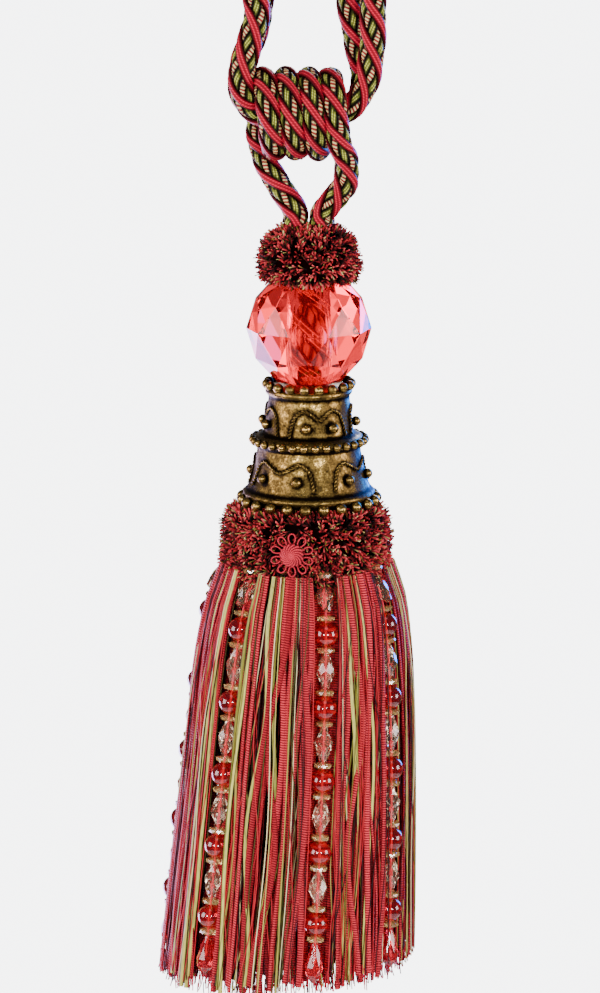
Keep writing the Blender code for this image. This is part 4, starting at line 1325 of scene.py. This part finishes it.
class Strands:
    """Strands that hang in the skirt, with their own place, length, sway and twist."""

    def __init__(self, seed):
        self.chance = random.Random(seed)

    def path(self, azimuth, inset, width, wander, twist, length, points=25):
        """One strand from the head down; one in the face keeps clear of the strings of beads."""
        chance = self.chance
        behind, inner = inset > STRING_SLOT_DEPTH, inset > FACE_DEPTH
        clump = round(azimuth / CLUMP) * CLUMP
        pull = 0.0 if inner else chance.uniform(*CLUMP_PULL)
        sway, waves = chance.uniform(-wander, wander), chance.uniform(*WAVES)
        phase = chance.uniform(0.0, math.tau)
        lift, bulge = chance.uniform(0.0, FACE_LIFT_MM) * MM, chance.uniform(*BULGE)
        first_turn, whole_turn = chance.uniform(-twist, twist), chance.uniform(-twist, twist)
        row = []
        for n in range(points):
            share = START_SHARE + (length - START_SHARE) * n / (points - 1)
            wave = math.sin(phase + math.tau * waves * share) - math.sin(phase)
            drift = sway * wave * min(1.0, 3 * share)
            here = azimuth + drift + (clump - azimuth) * pull * max(0.0, share)
            if not behind:
                gap = math.degrees((STRING_HALF_SLOT + width * 0.5) / skirt_radius(share))
                here = beside_strings(here, gap)
            rise = lift * math.sin(math.pi * min(1.0, max(0.0, share) / bulge / 2))
            place = skirt_point(here, inset - rise, share)
            turn = math.radians(here) + first_turn + whole_turn * share
            # Painted light: near a string the value that sets painted shade falls, as if light reached the
            # strands behind it through the slot.
            lit = max(0.0, 1.0 - abs(from_string(here)) / LIT_BY_SLOT)
            row.append((place, Vector((math.sin(turn), -math.cos(turn), 0.0)), 1.0,
                        inset * (1.0 - lit)))
        return row

    def rows(self, count, layers, near, width, wander, twist):
        """Strands over the layers, a share of them where the ribbons lie together.

        Each layer is its share of the strands, its depth behind the face and how far that spreads.
        """
        chance, rows = self.chance, []
        for share, inset, spread in layers:
            number = round(count * share)
            for k in range(number):
                azimuth = 360.0 * (k + chance.random()) / number
                if chance.random() < near:
                    azimuth = (chance.choice(RIBBON_AZIMUTHS)
                               + chance.triangular(-RIBBON_SPREAD, RIBBON_SPREAD))
                depth = (inset + chance.uniform(0.0, spread)) * MM
                if depth <= STRING_SLOT_DEPTH and abs(from_string(azimuth)) < CLEAR_OF_STRING:
                    continue
                longest = FACE_LENGTH if depth < FACE_DEPTH else INNER_LENGTH
                rows.append(self.path(azimuth, depth, width * MM, wander, twist,
                                      longest - chance.uniform(0.0, LENGTH_SPREAD)))
        return rows

    def backing(self, width, offsets):
        """Strands close behind each string of beads, which fill its slot."""
        return [self.path(azimuth + offset, STRING_SLOT_DEPTH + BEHIND_SLOT, width * MM, 0.5, 0.3, 0.98)
                for azimuth in STRING_AZIMUTHS for offset in offsets]

    def frays(self, count, depth, length):
        """Loose fibres at the hem, where the cut ends of the tapes come apart."""
        chance, rows = self.chance, []
        for _ in range(count):
            azimuth, share = chance.uniform(0.0, 360.0), chance.uniform(*FRAY_START_SHARES)
            start = skirt_point(azimuth, chance.uniform(-0.3, depth) * MM, share)
            outward = around(azimuth, 1.0, 0.0)
            sideways = outward.cross(DOWN)
            aside = sideways * chance.uniform(-0.15, 0.15) + outward * chance.uniform(-0.1, 0.2)
            curl = sideways * chance.uniform(-0.2, 0.2)
            reach = chance.uniform(0.5, 1.0) * length * MM
            rows.append([(start + reach * (DOWN * t + aside * t * t + curl * math.sin(4 * t) * 0.3),
                          outward, 1.0, 0.0) for t in (0.0, 0.25, 0.5, 0.75, 1.0)])
        return rows


class TASSEL_OT_skirt(bpy.types.Operator):
    """Make the skirt: ribbed gimp tapes, satin ribbons and fine threads"""

    bl_idname = "tassel.skirt"
    bl_label = "Skirt"

    def execute(self, context):
        sizes, colours = context.scene.tassel_sizes, context.scene.tassel_colours
        strands = Strands(5)
        # The colour of painted shade on strands that lie further behind the face.
        deep_shade = hex_colour("#2A0206")
        gimp = ribbed_gimp("ribbed_rayon_gimp", hex_colour("#FF4A58"), tuple(colours.gimp),
                           hex_colour("#5E0A14"), deep_shade)
        ribbon = satin_ribbon("rayon_ribbon", tuple(colours.ribbon), hex_colour("#8A842C"),
                              hex_colour("#1E1C06"))
        thread = plain_thread("fine_thread", (
            (0.0, hex_colour("#C8202E")), (0.46, hex_colour("#4A4418")), (0.60, hex_colour("#FFF2B8")),
            (0.66, hex_colour("#30040A")), (0.93, hex_colour("#C0B660"))), deep_shade)
        kinds = (
            # name, count, layers, share with the ribbons, thickness, width, sides, wander, twist,
            # surface, seed
            ("skirt_gimp", sizes.gimp_count, ((0.27, 0.2, 1.6), (0.27, 3.0, 3.0), (0.46, 7.0, 7.0)),
             0.0, 1.1, 2.4, 8, 4.2, 0.6, gimp, 3),
            ("skirt_ribbons", sizes.ribbon_count, ((0.66, -0.4, 1.6), (0.24, 2.5, 3.0), (0.10, 7.0, 4.0)),
             0.75, 0.3, 1.7, 6, 3.4, 1.2, ribbon, 4),
            ("skirt_threads", sizes.thread_count, ((0.55, -0.5, 1.6), (0.45, 2.0, 3.0)),
             0.3, 0.36, 0.42, 4, 4.6, 0.5, thread, 6),
        )
        tree = yarn_tree()
        for name, count, layers, near, thick, wide, sides, wander, twist, surface, seed in kinds:
            rows = strands.rows(count, layers, near, wide, wander, twist)
            if name == "skirt_gimp":
                rows += strands.backing(wide, BACKING_OFFSETS)
            yarns = swept_yarns(name, rows, tree, thick, wide, sides, surface, seed)
            keep(yarns, "fringe", *(["skirt"] if name == "skirt_gimp" else []))
        self.frays(strands, tree, deep_shade)
        # The tape that the strands are sewn to: matt, and painted near black as shade between them.
        core = new_material("skirt_head_tape_painted_shade", Base_Color=(*hex_colour("#14020A"), 1.0),
                            Roughness=1.0)[0]
        keep(turned_shell("skirt_head", HEAD_OUTLINE_MM, SKIRT_X, core), "fringe")
        return {"FINISHED"}

    def frays(self, strands, tree, deep_shade):
        fibre = plain_thread("frayed_fibre", (
            (0.0, hex_colour("#C00828")), (0.40, hex_colour("#8A041A")), (0.62, hex_colour("#E0183C")),
            (0.78, hex_colour("#98903A")), (0.88, hex_colour("#3A040A"))), deep_shade)
        rows = strands.frays(FRAYS, FRAY_DEPTH_MM, FRAY_LENGTH_MM)
        keep(swept_yarns("skirt_frays", rows, tree, 0.46, 0.46, 3, fibre, 8), "fringe")


# ---------------------------------------------------------------- strings of beads

def string_path(azimuth, z):
    """Middle of a string of beads at a height, in the face of the skirt."""
    share = (z - STRING_HEAD_Z) / (hem_z(azimuth) - STRING_HEAD_Z)
    return on_skirt(azimuth, STRING_TOP_R + flare(share), z, share)


def turned_bead(mesh_builder, matrix, outline, sides, tone=0):
    """A faceted bead from radius and height in millimetres, closed at both ends."""
    rings = []
    for row, (radius, z) in enumerate(outline):
        shift = 0.5 if row % 2 else 0.0
        rings.append([mesh_builder.verts.new(matrix @ Vector((
            radius * MM * math.cos(math.tau * (k + shift) / sides),
            radius * MM * math.sin(math.tau * (k + shift) / sides), z * MM))) for k in range(sides)])
    faces = []
    for row, (first, second) in enumerate(zip(rings, rings[1:])):
        for k in range(sides):
            after = (k + 1) % sides
            if row % 2 == 0:
                faces.append(mesh_builder.faces.new((first[k], first[after], second[k])))
                faces.append(mesh_builder.faces.new((first[after], second[after], second[k])))
            else:
                faces.append(mesh_builder.faces.new((first[k], first[after], second[after])))
                faces.append(mesh_builder.faces.new((first[k], second[after], second[k])))
    faces.append(mesh_builder.faces.new(rings[0]))
    faces.append(mesh_builder.faces.new(rings[-1]))
    for face in faces:
        face.material_index = tone


def round_bead(mesh_builder, matrix):
    """A smooth round bead, of the first glass."""
    made = bmesh.ops.create_uvsphere(mesh_builder, u_segments=20, v_segments=12,
                                     radius=ROUND_BEAD_R_MM * MM, matrix=matrix)
    for face in {face for vertex in made["verts"] for face in vertex.link_faces}:
        face.smooth = True
        face.material_index = 0


class TASSEL_OT_beads(bpy.types.Operator):
    """Make the strings of round, long and drop beads with rondelles between them"""

    bl_idname = "tassel.beads"
    bl_label = "Bead Strings"

    def execute(self, context):
        red = bead_glass("pressed_glass_red", hex_colour("#DA2438"), 0.90, 1.42)
        clear = bead_glass("pressed_glass_clear", hex_colour("#FFE6C4"), 0.97, 1.37)
        champagne = bead_glass("pressed_glass_champagne", hex_colour("#FFE2A0"), 0.88, 1.36)
        coral_glass = bead_glass("pressed_glass_coral", hex_colour("#F43C4C"), 0.90, 1.36)
        coral = hex_colour("#D01E3C")
        thread = plain_thread("bead_thread", ((0.0, coral), (1.0, coral)), coral)
        rows, tree = self.string_rows(), yarn_tree()
        top, low = THREAD_TOP_Z, rows[-1][0]
        for number, azimuth in enumerate(STRING_AZIMUTHS, start=1):
            beads = bmesh.new()
            for height, outline, sides, tone in rows:
                seat = self.hung_at(azimuth, height, number * SPIN_BY_STRING + height * SPIN_BY_HEIGHT)
                if outline:
                    turned_bead(beads, seat, outline, sides, tone)
                else:
                    round_bead(beads, seat)
            string = mesh_object(f"string_{number}_beads", beads, [red, clear, champagne, coral_glass],
                                 smooth=None)
            keep(string, "beads", f"bead_string_{number}")
            front = around(azimuth, 1.0, 0.0)
            line = [(string_path(azimuth, top + (low - top) * n / THREAD_POINTS), front, 1.0, 0.0)
                    for n in range(THREAD_POINTS + 1)]
            keep(swept_yarns(f"string_{number}_thread", [line], tree, 0.7, 0.7, 6, thread), "beads")
        return {"FINISHED"}

    def string_rows(self):
        """Height, outline, sides and glass of each bead down a string; a round bead has no outline."""
        rows = [(FIRST_ROUND_BEAD_Z + TO_LONG_BEAD, LONG_BEAD_MM, 6, 1),
                (FIRST_ROUND_BEAD_Z + TO_TOP_RONDELLE, RONDELLE_MM, 8, 2)]
        for repeat in range(STRING_REPEATS):
            middle = FIRST_ROUND_BEAD_Z - STRING_PERIOD * repeat
            rows += [(middle + TO_RONDELLE, RONDELLE_MM, 8, 2), (middle, None, 0, 0),
                     (middle - TO_RONDELLE, RONDELLE_MM, 8, 2)]
            if repeat < STRING_REPEATS - 1:
                rows.append((middle - TO_LONG_BEAD, LONG_BEAD_MM, 6, 1))
        rows.append((middle - TO_DROP, DROP_MM, 8, 3))
        return rows

    def hung_at(self, azimuth, z, spin):
        """Where a bead sits on its string, in line with it."""
        here = string_path(azimuth, z)
        above = string_path(azimuth, z + 2 * MM)
        lean = Vector((0.0, 0.0, 1.0)).rotation_difference(above - here)
        return Matrix.Translation(here) @ lean.to_matrix().to_4x4() @ Matrix.Rotation(spin, 4, "Z")


# ---------------------------------------------------------------- panel and run

STEPS = (TASSEL_OT_stage, TASSEL_OT_ropes, TASSEL_OT_ruffs, TASSEL_OT_ball, TASSEL_OT_cap,
         TASSEL_OT_rosette, TASSEL_OT_skirt, TASSEL_OT_beads)


class TASSEL_PT_panel(bpy.types.Panel):
    bl_label = "Tassel"
    bl_idname = "TASSEL_PT_panel"
    bl_space_type = "VIEW_3D"
    bl_region_type = "UI"
    bl_category = "Tassel"

    def draw(self, context):
        for group in (context.scene.tassel_sizes, context.scene.tassel_colours):
            box = self.layout.box()
            for name in group.__annotations__:
                box.prop(group, name)
        for step in STEPS:
            self.layout.operator(step.bl_idname)


CLASSES = (TasselSizes, TasselColours, *STEPS, TASSEL_PT_panel)


def register():
    for each in CLASSES:
        bpy.utils.register_class(each)
    bpy.types.Scene.tassel_sizes = PointerProperty(type=TasselSizes)
    bpy.types.Scene.tassel_colours = PointerProperty(type=TasselColours)


def unregister():
    del bpy.types.Scene.tassel_sizes
    del bpy.types.Scene.tassel_colours
    for each in reversed(CLASSES):
        bpy.utils.unregister_class(each)


def main():
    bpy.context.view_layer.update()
    register()
    bpy.ops.tassel.stage()
    bpy.ops.tassel.ropes()
    bpy.ops.tassel.ruffs()
    bpy.ops.tassel.ball()
    bpy.ops.tassel.cap()
    bpy.ops.tassel.rosette()
    bpy.ops.tassel.skirt()
    bpy.ops.tassel.beads()


if __name__ == "__main__":
    main()
